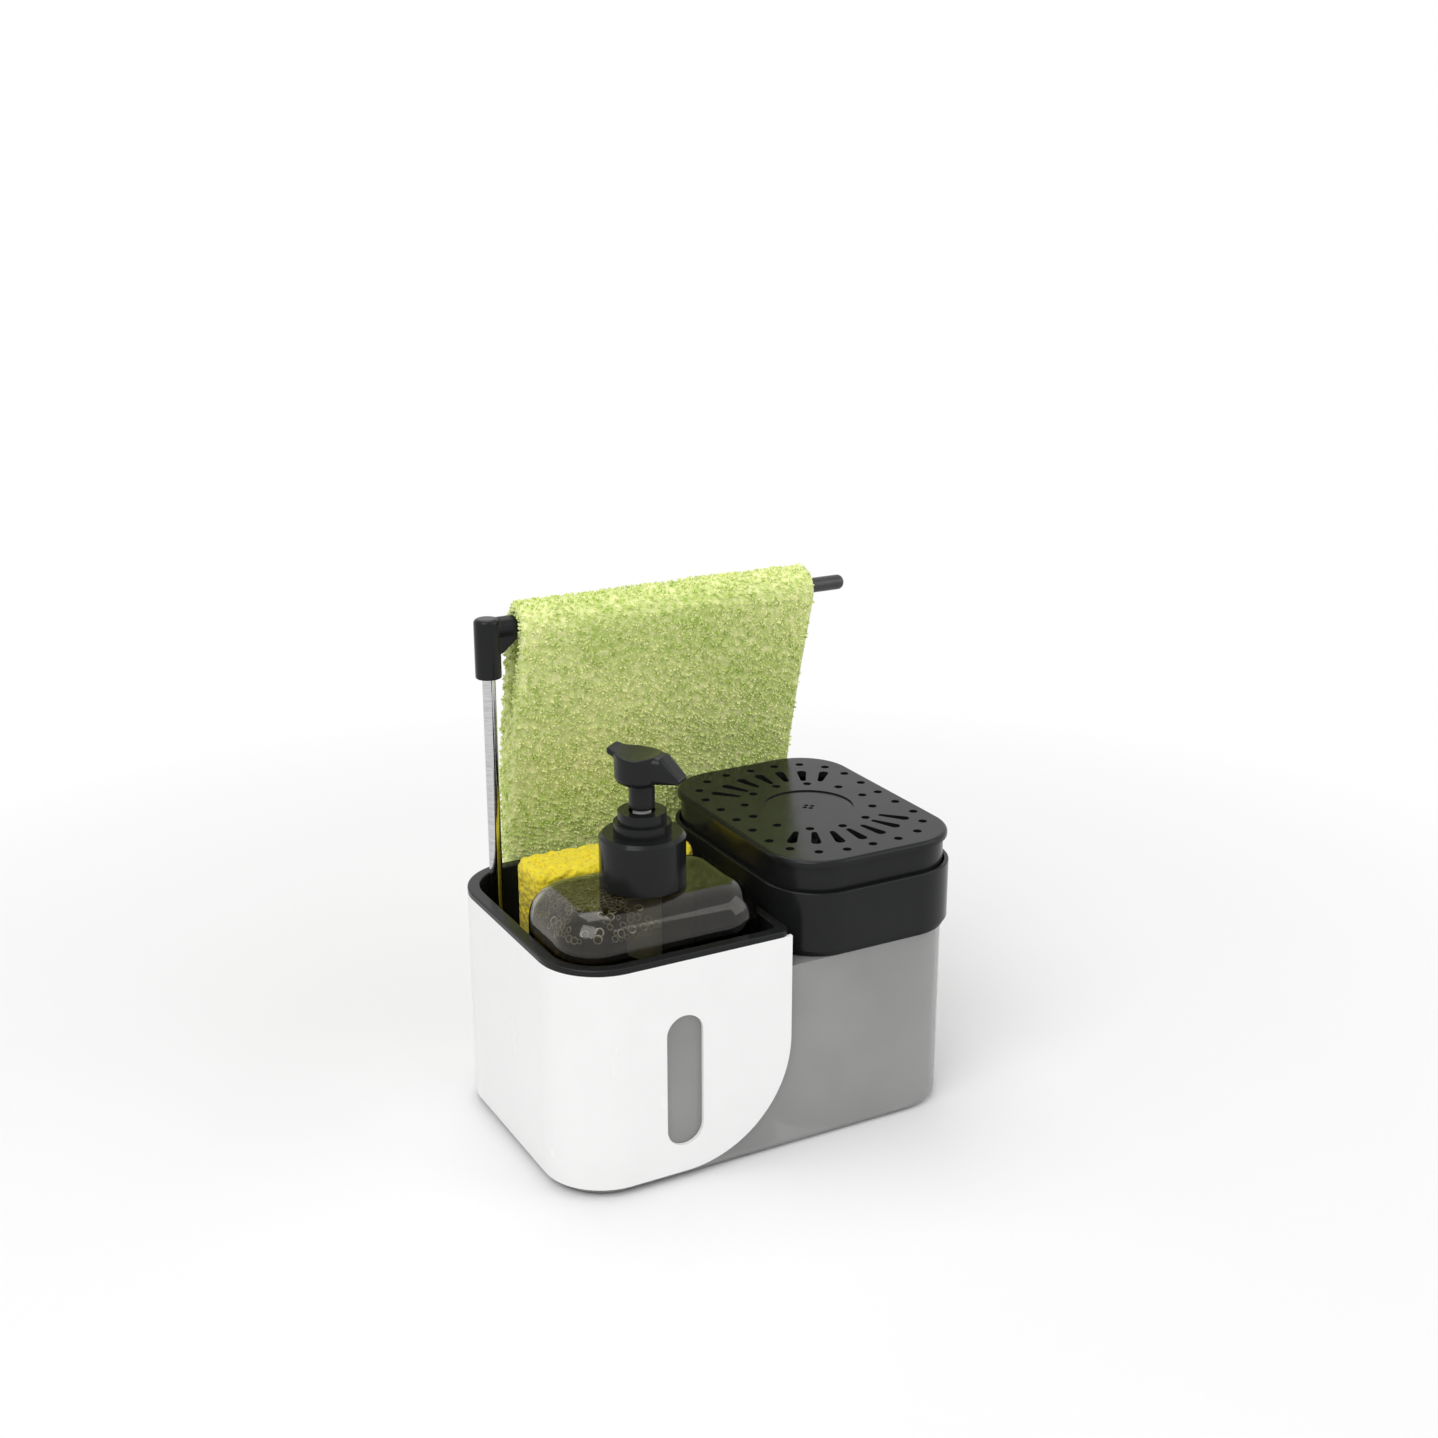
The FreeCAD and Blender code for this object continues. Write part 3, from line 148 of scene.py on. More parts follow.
class Finish:
    """A node material round one Principled shader, read in the object's own coordinates."""

    SOCKETS = {"ior": "IOR", "specular_ior_level": "Specular IOR Level"}

    def __init__(self, name):
        self.material = bpy.data.materials.new(name)
        self.material.use_nodes = True
        self.tree = self.material.node_tree
        self.shader = self.tree.nodes["Principled BSDF"]
        self.place = self.tree.nodes.new("ShaderNodeTexCoord").outputs["Object"]

    def set(self, **values):
        """Set the shader's own sockets, such as roughness or sheen_weight."""
        for key, value in values.items():
            socket = self.SOCKETS.get(key, key.replace("_", " ").title())
            self.shader.inputs[socket].default_value = value
        return self

    def link(self, source, socket):
        self.tree.links.new(source, self.shader.inputs[socket])

    def stretch(self, scale):
        node = self.tree.nodes.new("ShaderNodeMapping")
        node.inputs["Scale"].default_value = scale
        self.tree.links.new(self.place, node.inputs["Vector"])
        return node.outputs["Vector"]

    def noise(self, scale, detail, place=None):
        node = self.tree.nodes.new("ShaderNodeTexNoise")
        node.inputs["Scale"].default_value = scale
        node.inputs["Detail"].default_value = detail
        self.tree.links.new(place or self.place, node.inputs["Vector"])
        return node.outputs["Fac"]

    def cells(self, scale):
        node = self.tree.nodes.new("ShaderNodeTexVoronoi")
        node.inputs["Scale"].default_value = scale
        self.tree.links.new(self.place, node.inputs["Vector"])
        return node.outputs["Distance"]

    def spread(self, source, low, high, start=0.3, end=0.7):
        node = self.tree.nodes.new("ShaderNodeMapRange")
        node.inputs["From Min"].default_value = start
        node.inputs["From Max"].default_value = end
        node.inputs["To Min"].default_value = low
        node.inputs["To Max"].default_value = high
        self.tree.links.new(source, node.inputs["Value"])
        return node.outputs["Result"]

    def colour_by(self, source, low, high, start=0.3, end=0.7):
        """Let a pattern run the base colour from one colour to another."""
        node = self.tree.nodes.new("ShaderNodeValToRGB")
        first, last = node.color_ramp.elements
        first.position = start
        last.position = end
        first.color = (*low, 1)
        last.color = (*high, 1)
        self.tree.links.new(source, node.inputs["Fac"])
        self.link(node.outputs["Color"], "Base Color")

    def roughness_by(self, source, low, high):
        """Let a pattern run the roughness from one value to another."""
        self.link(self.spread(source, low, high), "Roughness")

    def bump(self, source, distance, strength):
        node = self.tree.nodes.new("ShaderNodeBump")
        node.inputs["Distance"].default_value = distance
        node.inputs["Strength"].default_value = strength
        self.tree.links.new(source, node.inputs["Height"])
        self.link(node.outputs["Normal"], "Normal")


def shaded(colour, factor):
    return tuple(min(1.0, part * factor) for part in colour)


def moulded_plastic(name, colour, low, high, shine=0.5, mottle=0.07):
    """Gloss plastic from a polished mould: faint flow mottle, scuffs in the gloss, slight peel."""
    finish = Finish(name).set(specular_ior_level=shine)
    flow = finish.noise(45, 3)
    finish.colour_by(flow, shaded(colour, 1 - mottle), shaded(colour, 1 + mottle))
    streaks = finish.noise(60, 5, finish.stretch((1.0, 1.0, 0.35)))
    finish.roughness_by(streaks, low, high)
    finish.bump(finish.noise(900, 2), 0.02 * MM, 0.35)
    return finish.material


def smoky_plastic(name, colour, alpha, low, high):
    """See-through smoky plastic: slightly uneven in depth of colour, with a polished skin."""
    finish = Finish(name).set(alpha=alpha, ior=1.5)
    finish.colour_by(finish.noise(18, 2), shaded(colour, 0.9), shaded(colour, 1.1))
    finish.roughness_by(finish.noise(70, 4), low, high)
    finish.bump(finish.noise(120, 1), 0.04 * MM, 0.25)
    finish.material.surface_render_method = "BLENDED"
    return finish.material


def clear_smoke(name, colour):
    """Smoky clear plastic that is seen through: light is tinted as it passes each wall."""
    finish = Finish(name).set(transmission_weight=1.0, ior=1.45)
    finish.colour_by(finish.noise(18, 2), shaded(colour, 0.95), shaded(colour, 1.05))
    finish.roughness_by(finish.noise(70, 4), 0.02, 0.05)
    finish.bump(finish.noise(60, 1), 0.04 * MM, 0.2)
    return finish.material


def polished_steel(name):
    """Bright drawn tube with fine rings left by polishing."""
    finish = Finish(name).set(metallic=1.0)
    rings = finish.noise(40, 4, finish.stretch((4.0, 4.0, 60.0)))
    finish.colour_by(rings, (0.46, 0.46, 0.47), (0.66, 0.66, 0.66))
    finish.roughness_by(rings, 0.07, 0.18)
    return finish.material


def drawn_wire(name):
    """Plain spring wire and valve balls, duller than the post."""
    finish = Finish(name).set(metallic=1.0)
    finish.colour_by(finish.noise(500, 3), (0.42, 0.42, 0.43), (0.58, 0.58, 0.59))
    finish.roughness_by(finish.noise(900, 3), 0.22, 0.38)
    return finish.material


def coated_steel(name, colour):
    """Baked black coat on the towel bar, with a fine satin grain."""
    finish = Finish(name)
    finish.colour_by(finish.noise(90, 3), shaded(colour, 1.5), shaded(colour, 2.6))
    finish.roughness_by(finish.noise(300, 4), 0.26, 0.40)
    finish.bump(finish.noise(2200, 3), 0.03 * MM, 0.5)
    return finish.material


def soft_rubber(name, colour):
    """Matt rubber of the feet, seals and cups."""
    finish = Finish(name)
    finish.colour_by(finish.noise(120, 3), shaded(colour, 0.85), shaded(colour, 1.1))
    finish.roughness_by(finish.noise(250, 3), 0.55, 0.75)
    finish.bump(finish.noise(1500, 2), 0.04 * MM, 0.4)
    return finish.material


def milky_plastic(name):
    """Natural polypropylene, as pump insides are made of."""
    finish = Finish(name).set(subsurface_weight=0.15, subsurface_scale=2 * MM)
    finish.colour_by(finish.noise(60, 2), (0.66, 0.67, 0.66), (0.78, 0.79, 0.78))
    finish.roughness_by(finish.noise(150, 3), 0.32, 0.46)
    return finish.material


def terry_cloth(name, deep, light):
    """Looped terry: colour runs from painted shade at the roots to a painted highlight at the
    tips, soft sheen and a tight pile.
    """
    finish = Finish(name).set(
        roughness=0.95, sheen_weight=0.35, sheen_roughness=0.5, specular_ior_level=0.15)
    pile = finish.noise(340, 3)
    patch = finish.noise(28, 3)
    mixed = finish.tree.nodes.new("ShaderNodeMath")
    mixed.operation = "MULTIPLY_ADD"
    mixed.inputs[1].default_value = 0.6
    finish.tree.links.new(pile, mixed.inputs[0])
    finish.tree.links.new(finish.spread(patch, 0.17, 0.25), mixed.inputs[2])
    # The pile pattern paints shade between the loops and a highlight on their tips.
    finish.colour_by(mixed.outputs[0], deep, light, 0.36, 0.64)
    finish.bump(pile, 0.6 * MM, 0.8)
    return finish.material


def cellulose(name, deep, light):
    """Cellulose sponge: painted shade of dark orange in its pores, its own bright yellow on its
    skin.
    """
    finish = Finish(name).set(roughness=0.9, sheen_weight=0.15, specular_ior_level=0.2)
    fine = finish.cells(420)
    # Dark spots at the cells' middles are painted shade in the pores.
    finish.colour_by(fine, deep, light, 0.05, 0.42)
    finish.bump(fine, 1.0 * MM, 0.9)
    return finish.material


def soap_foam(name):
    """White rings on the soap bubbles' edges: a painted highlight for the glint on their wet rims.
    """
    finish = Finish(name).set(ior=1.33)
    # Near white is painted highlight, the glint on the bubbles' wet rims.
    finish.colour_by(finish.noise(400, 2), (0.90, 0.90, 0.88), (0.98, 0.98, 0.97))
    finish.roughness_by(finish.noise(300, 2), 0.10, 0.25)
    return finish.material


def paint(obj, material):
    obj.data.materials.clear()
    obj.data.materials.append(material)


# Mesh helpers


def placed(name, data):
    """An object in the scene that holds a mesh, a lamp or a camera."""
    thing = bpy.data.objects.new(name, data)
    bpy.context.scene.collection.objects.link(thing)
    return thing


def new_piece(name, mesh, body, slot, *nodes):
    """Place a finished mesh as a piece that rides on a body and may stand for CAD nodes."""
    piece = placed(name, mesh)
    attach(piece, body)
    if nodes:
        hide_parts(*nodes)
    return piece


def applied(obj, name):
    """The object's evaluated shape as a plain mesh; the object keeps no modifiers."""
    graph = bpy.context.evaluated_depsgraph_get()
    mesh = bpy.data.meshes.new_from_object(obj.evaluated_get(graph))
    mesh.name = name
    obj.modifiers.clear()
    return mesh


def smooth_faces(mesh):
    for face in mesh.polygons:
        face.use_smooth = True


def merged_copy(node):
    """A bare copy of a CAD node's mesh with its loose triangles joined."""
    mesh = NODES[node].data.copy()
    work = bmesh.new()
    work.from_mesh(mesh)
    bmesh.ops.remove_doubles(work, verts=work.verts, dist=MERGE_DISTANCE)
    work.to_mesh(mesh)
    work.free()
    mesh.materials.clear()
    return mesh


def rounded_copy(node, name, voxel, passes):
    """A copy of a CAD node whose sharp edges are eased as they come out of a mould."""
    helper = placed(name + "_form", merged_copy(node))
    remesh = helper.modifiers.new("Skin", "REMESH")
    remesh.mode = "VOXEL"
    remesh.voxel_size = voxel
    smooth = helper.modifiers.new("Ease", "SMOOTH")
    smooth.factor = 0.5
    smooth.iterations = passes
    mesh = applied(helper, name)
    bpy.data.objects.remove(helper)
    smooth_faces(mesh)
    return mesh


def product(tree, source, factor):
    """A node's output times another output or a number."""
    node = tree.nodes.new("ShaderNodeMath")
    node.operation = "MULTIPLY"
    tree.links.new(source, node.inputs[0])
    if isinstance(factor, float):
        node.inputs[1].default_value = factor
    else:
        tree.links.new(factor, node.inputs[1])
    return node.outputs[0]


SCATTER_INPUTS = (
    ("Surface", "NodeSocketGeometry"), ("Density", "NodeSocketFloat"),
    ("Length", "NodeSocketFloat"), ("Width", "NodeSocketFloat"), ("Tilt", "NodeSocketFloat"),
    ("Seed", "NodeSocketInt"), ("Finish", "NodeSocketMaterial"))
SMALLEST_COPY = 0.6
LARGEST_COPY = 1.35


def scatter_tree(name, make_shape, apart=0.0):
    """A tree that scatters small shapes over a surface, at random or a distance apart.

    The surface's own share attribute says how much of the density each place gets.
    """
    tree = bpy.data.node_groups.new(name, "GeometryNodeTree")
    for socket, kind in SCATTER_INPUTS:
        tree.interface.new_socket(socket, in_out="INPUT", socket_type=kind)
    tree.interface.new_socket("Shapes", in_out="OUTPUT", socket_type="NodeSocketGeometry")
    nodes = tree.nodes
    links = tree.links
    given = nodes.new("NodeGroupInput").outputs
    share = nodes.new("GeometryNodeInputNamedAttribute")
    share.data_type = "FLOAT"
    share.inputs["Name"].default_value = "share"
    spots = nodes.new("GeometryNodeDistributePointsOnFaces")
    links.new(given["Surface"], spots.inputs["Mesh"])
    links.new(given["Seed"], spots.inputs["Seed"])
    if apart:
        spots.distribute_method = "POISSON"
        spots.inputs["Distance Min"].default_value = apart
        links.new(given["Density"], spots.inputs["Density Max"])
        links.new(share.outputs["Attribute"], spots.inputs["Density Factor"])
    else:
        spots.distribute_method = "RANDOM"
        dense = product(tree, given["Density"], share.outputs["Attribute"])
        links.new(dense, spots.inputs["Density"])
    lean = nodes.new("FunctionNodeRandomValue")
    lean.data_type = "FLOAT_VECTOR"
    links.new(product(tree, given["Tilt"], -1.0), lean.inputs["Min"])
    links.new(given["Tilt"], lean.inputs["Max"])
    links.new(given["Seed"], lean.inputs["Seed"])
    turn = nodes.new("FunctionNodeRotateEuler")
    turn.space = "LOCAL"
    links.new(spots.outputs["Rotation"], turn.inputs["Rotation"])
    links.new(lean.outputs["Value"], turn.inputs["Rotate By"])
    stretch = nodes.new("FunctionNodeRandomValue")
    stretch.data_type = "FLOAT"
    stretch.inputs[2].default_value = SMALLEST_COPY
    stretch.inputs[3].default_value = LARGEST_COPY
    place = nodes.new("GeometryNodeInstanceOnPoints")
    links.new(spots.outputs["Points"], place.inputs["Points"])
    links.new(make_shape(tree, given), place.inputs["Instance"])
    links.new(turn.outputs["Rotation"], place.inputs["Rotation"])
    links.new(stretch.outputs[1], place.inputs["Scale"])
    real = nodes.new("GeometryNodeRealizeInstances")
    links.new(place.outputs["Instances"], real.inputs["Geometry"])
    finish = nodes.new("GeometryNodeSetMaterial")
    links.new(real.outputs["Geometry"], finish.inputs["Geometry"])
    links.new(given["Finish"], finish.inputs["Material"])
    out = nodes.new("NodeGroupOutput")
    links.new(finish.outputs["Geometry"], out.inputs["Shapes"])
    return tree


def scattered(name, surface, tree, **inputs):
    """Run a scatter tree on a helper surface and hand back its plain mesh."""
    modifier = surface.modifiers.new(name, "NODES")
    modifier.node_group = tree
    for socket in tree.interface.items_tree:
        if socket.in_out == "INPUT" and socket.name in inputs:
            modifier[socket.identifier] = inputs[socket.name]
    return applied(surface, name)


LOOP_SIDES = 4
LOOP_FOOT = 0.55  # width of a loop's foot against its head


def loop_shape(tree, given):
    """One terry loop: a blunt tuft that stands on the cloth, wider at its head than its foot."""
    nodes = tree.nodes
    links = tree.links
    foot = product(tree, given["Width"], LOOP_FOOT)
    stalk = nodes.new("GeometryNodeMeshCone")
    tip = nodes.new("GeometryNodeMeshCone")
    for cone in (stalk, tip):
        cone.fill_type = "NONE"
        cone.inputs["Vertices"].default_value = LOOP_SIDES
    links.new(given["Width"], stalk.inputs["Radius Top"])
    links.new(foot, stalk.inputs["Radius Bottom"])
    links.new(given["Length"], stalk.inputs["Depth"])
    tip.inputs["Radius Top"].default_value = 0.0
    links.new(given["Width"], tip.inputs["Radius Bottom"])
    links.new(foot, tip.inputs["Depth"])
    height = nodes.new("ShaderNodeCombineXYZ")
    links.new(given["Length"], height.inputs["Z"])
    raised = nodes.new("GeometryNodeTransform")
    links.new(tip.outputs["Mesh"], raised.inputs["Geometry"])
    links.new(height.outputs["Vector"], raised.inputs["Translation"])
    joined = nodes.new("GeometryNodeJoinGeometry")
    links.new(stalk.outputs["Mesh"], joined.inputs["Geometry"])
    links.new(raised.outputs["Geometry"], joined.inputs["Geometry"])
    return joined.outputs["Geometry"]


RING_POINTS = 16
EDGE_POINTS = 5


def bubble_shape(tree, given):
    """One bubble as it clings to the wall: a ring at its edge that carries the painted highlight
    of its rim.
    """
    swept = tree.nodes.new("GeometryNodeCurveToMesh")
    for points, radius, socket in ((RING_POINTS, "Width", "Curve"),
                                   (EDGE_POINTS, "Length", "Profile Curve")):
        circle = tree.nodes.new("GeometryNodeCurvePrimitiveCircle")
        circle.inputs["Resolution"].default_value = points
        tree.links.new(given[radius], circle.inputs["Radius"])
        tree.links.new(circle.outputs["Curve"], swept.inputs[socket])
    return swept.outputs["Mesh"]


# Mouldings and springs


class CADDY_OT_mouldings(bpy.types.Operator):
    """Gives every moulded, turned and drawn piece its finish"""

    bl_idname = "caddy.mouldings"
    bl_label = "Mouldings"

    def execute(self, context):
        tint = colours()
        black = moulded_plastic("gloss_black", tint.black, 0.15, 0.26, shine=0.17)
        white = moulded_plastic("shell_white", tint.shell_white, 0.22, 0.28, mottle=0.008)
        finishes = {
            "tank": smoky_plastic("tank_smoke", tint.tank_smoke, 0.72, 0.10, 0.20),
            "outer_sleeve": white,
            "bottle": clear_smoke("bottle_smoke", tint.bottle_smoke),
            "rubber_feet": soft_rubber("foot_rubber", (0.035, 0.035, 0.035)),
            "rail_post": polished_steel("bright_post"),
            "towel_bar": coated_steel("bar_coat", tint.black),
        }
        seal = soft_rubber("soft_seal", (0.62, 0.62, 0.60))
        milky = milky_plastic("milky_plastic")
        wire = drawn_wire("spring_wire")
        for node in ("bin_liner", "deck_collar", "press_tray", "soap_nozzle", "barrel_nut",
                     "pump_closure", "pump_chaplet", "pump_head", "rail_elbow"):
            finishes[node] = black
        for node in ("deck_seal", "piston_cup", "neck_gasket", "pump_piston"):
            finishes[node] = seal
        for node in ("pump_barrel", "plunger", "suction_tube", "pump_housing", "dip_tube",
                     "pump_stem"):
            finishes[node] = milky
        for node in ("foot_valve_ball", "tray_spring", "inlet_ball", "pump_spring"):
            finishes[node] = wire
        for node, material in finishes.items():
            paint(NODES[node], material)
        return {"FINISHED"}


class CADDY_OT_eased_pieces(bpy.types.Operator):
    """Makes the pump's head and the rail's elbow with the eased edges of real mouldings"""

    bl_idname = "caddy.eased_pieces"
    bl_label = "Pump head and elbow"

    def execute(self, context):
        black = bpy.data.materials["gloss_black"]
        for node, body, voxel, passes in (("pump_head", "pump_head", 0.45 * MM, 8),
                                          ("rail_elbow", "towel_rail", 0.4 * MM, 6)):
            mesh = rounded_copy(node, node + "_eased", voxel, passes)
            mesh.materials.append(black)
            new_piece(node + "_eased", mesh, body, "black_plastic", node)
        return {"FINISHED"}


class CADDY_OT_springs(bpy.types.Operator):
    """Makes the two return springs as copies of their CAD coils, each on the body that carries it
    """

    bl_idname = "caddy.springs"
    bl_label = "Springs"

    def execute(self, context):
        wire = bpy.data.materials["spring_wire"]
        for node, body, joint in (("tray_spring", "caddy_base", "tray_press"),
                                  ("pump_spring", "pump_bottle", "head_press")):
            mesh = merged_copy(node)
            mesh.materials.append(wire)
            coil = new_piece(node + "_coil", mesh, body, "spring_steel", node)
            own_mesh(coil)
        return {"FINISHED"}


# Towel

BAR_GAP = 0.5 * MM
BODY_GAP = 0.8 * MM
PANEL_GAP = 0.5 * MM
BEND_RISE = 3 * MM
FRONT_HEM_RISE = 10 * MM
TOP_STEPS = 12
BEND_EASE = 60 * MM
EASE_PASSES = 12
FINE_PITCH = 0.5 * MM
ROW_PITCH = 2.5 * MM
EDGE_INSET = 0.6 * MM
COLUMNS = 56
FOLD_STEPS = 6
SWAY_DEPTH = 3.0 * MM
RIPPLE_DEPTH = 0.35 * MM
EDGE_SLIP = 1.2 * MM
EDGE_BAND = 12 * MM
UPPER_SWAY = 0.3
# Heights above the counter, in metres, between which the cloth begins to sway
SWAY_START = 0.224
UPPER_SWAY_HEIGHT = 0.2
LOWER_SWAY_START = 0.137
LOWER_SWAY_RUN = 0.06
LOOP_ROOT = 0.45  # how far out of a layer's middle its loops stand, in layer thicknesses
LOOP_TILT = 0.7
PILE = ((11, "towel_loops"), (12, "towel_loops_second"), (13, "towel_loops_third"))


def towel_path():
    """The line of the towel's middle over the bar, from front hem to rear hem, as points."""
    bar_low, bar_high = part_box("towel_bar")
    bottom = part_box("towel")[0].z
    bar_y = (bar_low.y + bar_high.y) / 2
    bar_z = (bar_low.z + bar_high.z) / 2
    half = sizes().towel_half
    reach = bar_high.z - bar_z + BAR_GAP + half
    front_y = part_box("outer_sleeve")[1].y + BODY_GAP + half
    rear_y = front_y + 2 * half + PANEL_GAP
    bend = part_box("press_tray")[1].z + BEND_RISE
    start = -towel_lean(reach, front_y - bar_y, bend - bar_z)
    end = math.pi - towel_lean(-reach, rear_y - bar_y, bend - bar_z)
    points = [(front_y, bottom + FRONT_HEM_RISE), (front_y, bend)]
    for step in range(TOP_STEPS + 1):
        angle = start + (end - start) * step / TOP_STEPS
        points.append((bar_y - reach * math.cos(angle), bar_z + reach * math.sin(angle)))
    points += [(rear_y, bend), (rear_y, bottom)]
    return smooth_line(points)


def towel_lean(reach, back, drop):
    """The angle of a panel that runs from the towel's round top to a place behind and below."""
    return math.asin(reach / math.hypot(back, drop)) + math.atan2(back, -drop)


def smooth_line(points):
    """Even points along a line whose second and last but one corners are eased."""
    line = [Vector((0, y, z)) for y, z in points]
    dense = []
    for start, end in zip(line, line[1:]):
        count = max(1, int((end - start).length / FINE_PITCH))
        dense += [start.lerp(end, step / count) for step in range(count)]
    dense.append(line[-1])
    window = int(BEND_EASE / FINE_PITCH / 4)
    reach = max(1, window // 4)
    for corner in (line[1], line[-2]):
        knee = min(range(len(dense)), key=lambda spot: (dense[spot] - corner).length)
        first = max(1, knee - 2 * window)
        last = min(len(dense) - 1, knee + 2 * window)
        for _ in range(EASE_PASSES):
            for spot in range(first, last):
                before = dense[max(0, spot - reach)]
                after = dense[min(len(dense) - 1, spot + reach)]
                dense[spot] = dense[spot] * 0.5 + (before + after) * 0.25
    even = [dense[0]]
    for point in dense[1:]:
        if (point - even[-1]).length >= ROW_PITCH:
            even.append(point)
    return even


def cloth_columns(left, run):
    """Places across the folded cloth, down its outside, round the fold and back, as (x, side)."""
    offset = sizes().layer_offset
    fold = left + offset
    across = [(left + run + offset - run * step / COLUMNS, 1.0) for step in range(COLUMNS)]
    for step in range(FOLD_STEPS + 1):
        angle = math.pi / 2 - math.pi * step / FOLD_STEPS
        across.append((left + offset * (1 - math.cos(angle)), math.sin(angle)))
    across += [(fold + run * step / COLUMNS, -1.0) for step in range(1, COLUMNS + 1)]
    return across


def sway_share(height):
    """How far the cloth follows its sway: not at all on the bar, and fully near the hems."""
    if height < UPPER_SWAY_HEIGHT:
        drop = max(0.0, (LOWER_SWAY_START - height) / LOWER_SWAY_RUN)
        return min(1.0, UPPER_SWAY + (1 - UPPER_SWAY) * drop)
    run = SWAY_START - UPPER_SWAY_HEIGHT
    return UPPER_SWAY * max(0.0, (SWAY_START - height) / run)


def cloth_form(line, travelled, left, right, across):
    """The folded cloth's middle face, with the share of the loops that each point carries."""
    size = sizes()
    cloth = bmesh.new()
    share = cloth.verts.layers.float.new("share")
    rows = []
    for index, spot in enumerate(line):
        ahead = line[min(index + 1, len(line) - 1)] - line[max(index - 1, 0)]
        out = Vector((0, -ahead.z, ahead.y)).normalized()
        edge = min(travelled[index], travelled[-1] - travelled[index])
        row = []
        for x, side in across:
            along = (x - left) / (right - left)
            sway = SWAY_DEPTH * (1 - math.cos(4 * math.pi * along)) / 2
            ripple = RIPPLE_DEPTH * noise.noise(Vector((x * 45, spot.z * 22, index * 0.02)))
            slip = EDGE_SLIP * noise.noise(Vector((7.0, spot.z * 25, side * 0.3)))
            near_edge = max(0.0, 1 - min(x - left, right - x) / EDGE_BAND)
            point = Vector((x + slip * near_edge * 0.5, spot.y, spot.z))
            point += out * (side * size.layer_offset + ripple)
            point.y += sway * sway_share(spot.z)
            vert = cloth.verts.new(point)
            vert[share] = 0.0 if edge < size.hem_width else 1.0
            row.append(vert)
        rows.append(row)
    for lower, upper in zip(rows, rows[1:]):
        for corners in zip(lower, lower[1:], upper[1:], upper):
            cloth.faces.new(corners).smooth = True
    cloth.normal_update()
    rear = [face for face in cloth.faces if face.calc_center_median().y > line[-1].y]
    if sum(face.normal.y for face in rear) < 0:
        bmesh.ops.reverse_faces(cloth, faces=cloth.faces)
    cloth.normal_update()
    return cloth


class CADDY_OT_towel(bpy.types.Operator):
    """Makes the green terry towel: a cloth folded once and hung over the bar, with its loops"""

    bl_idname = "caddy.towel"
    bl_label = "Towel"

    def execute(self, context):
        size = sizes()
        tint = colours()
        line = towel_path()
        low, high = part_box("towel")
        left = low.x + EDGE_INSET
        right = high.x - EDGE_INSET
        run = right - left - size.layer_offset
        travelled = [0.0]
        for start, end in zip(line, line[1:]):
            travelled.append(travelled[-1] + (end - start).length)
        cloth = cloth_form(line, travelled, left, right, cloth_columns(left, run))
        mesh = bpy.data.meshes.new("towel_cloth")
        cloth.to_mesh(mesh)
        for vert in cloth.verts:
            vert.co += vert.normal * size.layer_thick * LOOP_ROOT
        skin = bpy.data.meshes.new("towel_skin")
        cloth.to_mesh(skin)
        cloth.free()
        terry = terry_cloth("green_terry", tint.towel_painted_shade, tint.towel_painted_highlight)
        helper = placed("towel_form", mesh)
        wall = helper.modifiers.new("Thickness", "SOLIDIFY")
        wall.thickness = size.layer_thick
        wall.offset = 0.0
        solid = applied(helper, "towel_cloth_solid")
        solid.materials.clear()
        solid.materials.append(terry)
        towel = new_piece("towel_cloth", solid, "towel", "green_terry", "towel")
        helper.data = skin
        tree = scatter_tree("terry_loops", loop_shape)
        for seed, name in PILE:
            loops = scattered(
                name, helper, tree, Density=size.loop_density / len(PILE),
                Length=size.loop_length, Width=size.loop_width, Tilt=LOOP_TILT, Seed=seed,
                Finish=terry)
            new_piece(name, loops, "towel", "green_terry")
        bpy.data.objects.remove(helper)
        return {"FINISHED"}


# Sponge

SPONGE_VOXEL = 1.1 * MM
SPONGE_PASSES = 4
# Reaches are shares of a pitch, and the small pits' pitch is a share of the pores' pitch
PORE_REACH = 0.42
PORE_CURVE = 0.7
PIT_PITCH = 0.42
PIT_REACH = 0.4
PIT_DEPTH = 0.8 * MM
SWELL_DEPTH = 0.2 * MM
SWELL_SCALE = 60
RAGGED_DEPTH = 1.4 * MM
RAGGED_SCALE = 240


def hollow(spot, pitch, reach):
    """How deep a place lies in the nearest pore, from nothing at its brim to one at its middle."""
    return max(0.0, reach - noise.voronoi(spot / pitch)[0][0]) / reach


class CADDY_OT_sponge(bpy.types.Operator):
    """Makes the yellow sponge with its open pores"""

    bl_idname = "caddy.sponge"
    bl_label = "Sponge"

    def execute(self, context):
        size = sizes()
        tint = colours()
        mesh = rounded_copy("sponge", "sponge_cells", SPONGE_VOXEL, SPONGE_PASSES)
        normals = [vert.normal.copy() for vert in mesh.vertices]
        for vert, normal in zip(mesh.vertices, normals):
            pore = hollow(vert.co, size.pore_pitch, PORE_REACH)
            pit = hollow(vert.co, size.pore_pitch * PIT_PITCH, PIT_REACH)
            swell = noise.noise(vert.co * SWELL_SCALE)
            ragged = max(0.0, normal.z) * (0.5 + noise.noise(vert.co * RAGGED_SCALE))
            depth = size.pore_depth * pore ** PORE_CURVE + PIT_DEPTH * pit
            depth += SWELL_DEPTH * swell + RAGGED_DEPTH * ragged
            vert.co -= normal * max(0.0, depth)
        mesh.materials.append(cellulose("yellow_cellulose", tint.sponge_painted_shade, tint.sponge_light))
        sponge = new_piece("sponge_cells", mesh, "sponge", "yellow_sponge", "sponge")
        return {"FINISHED"}


# Foam

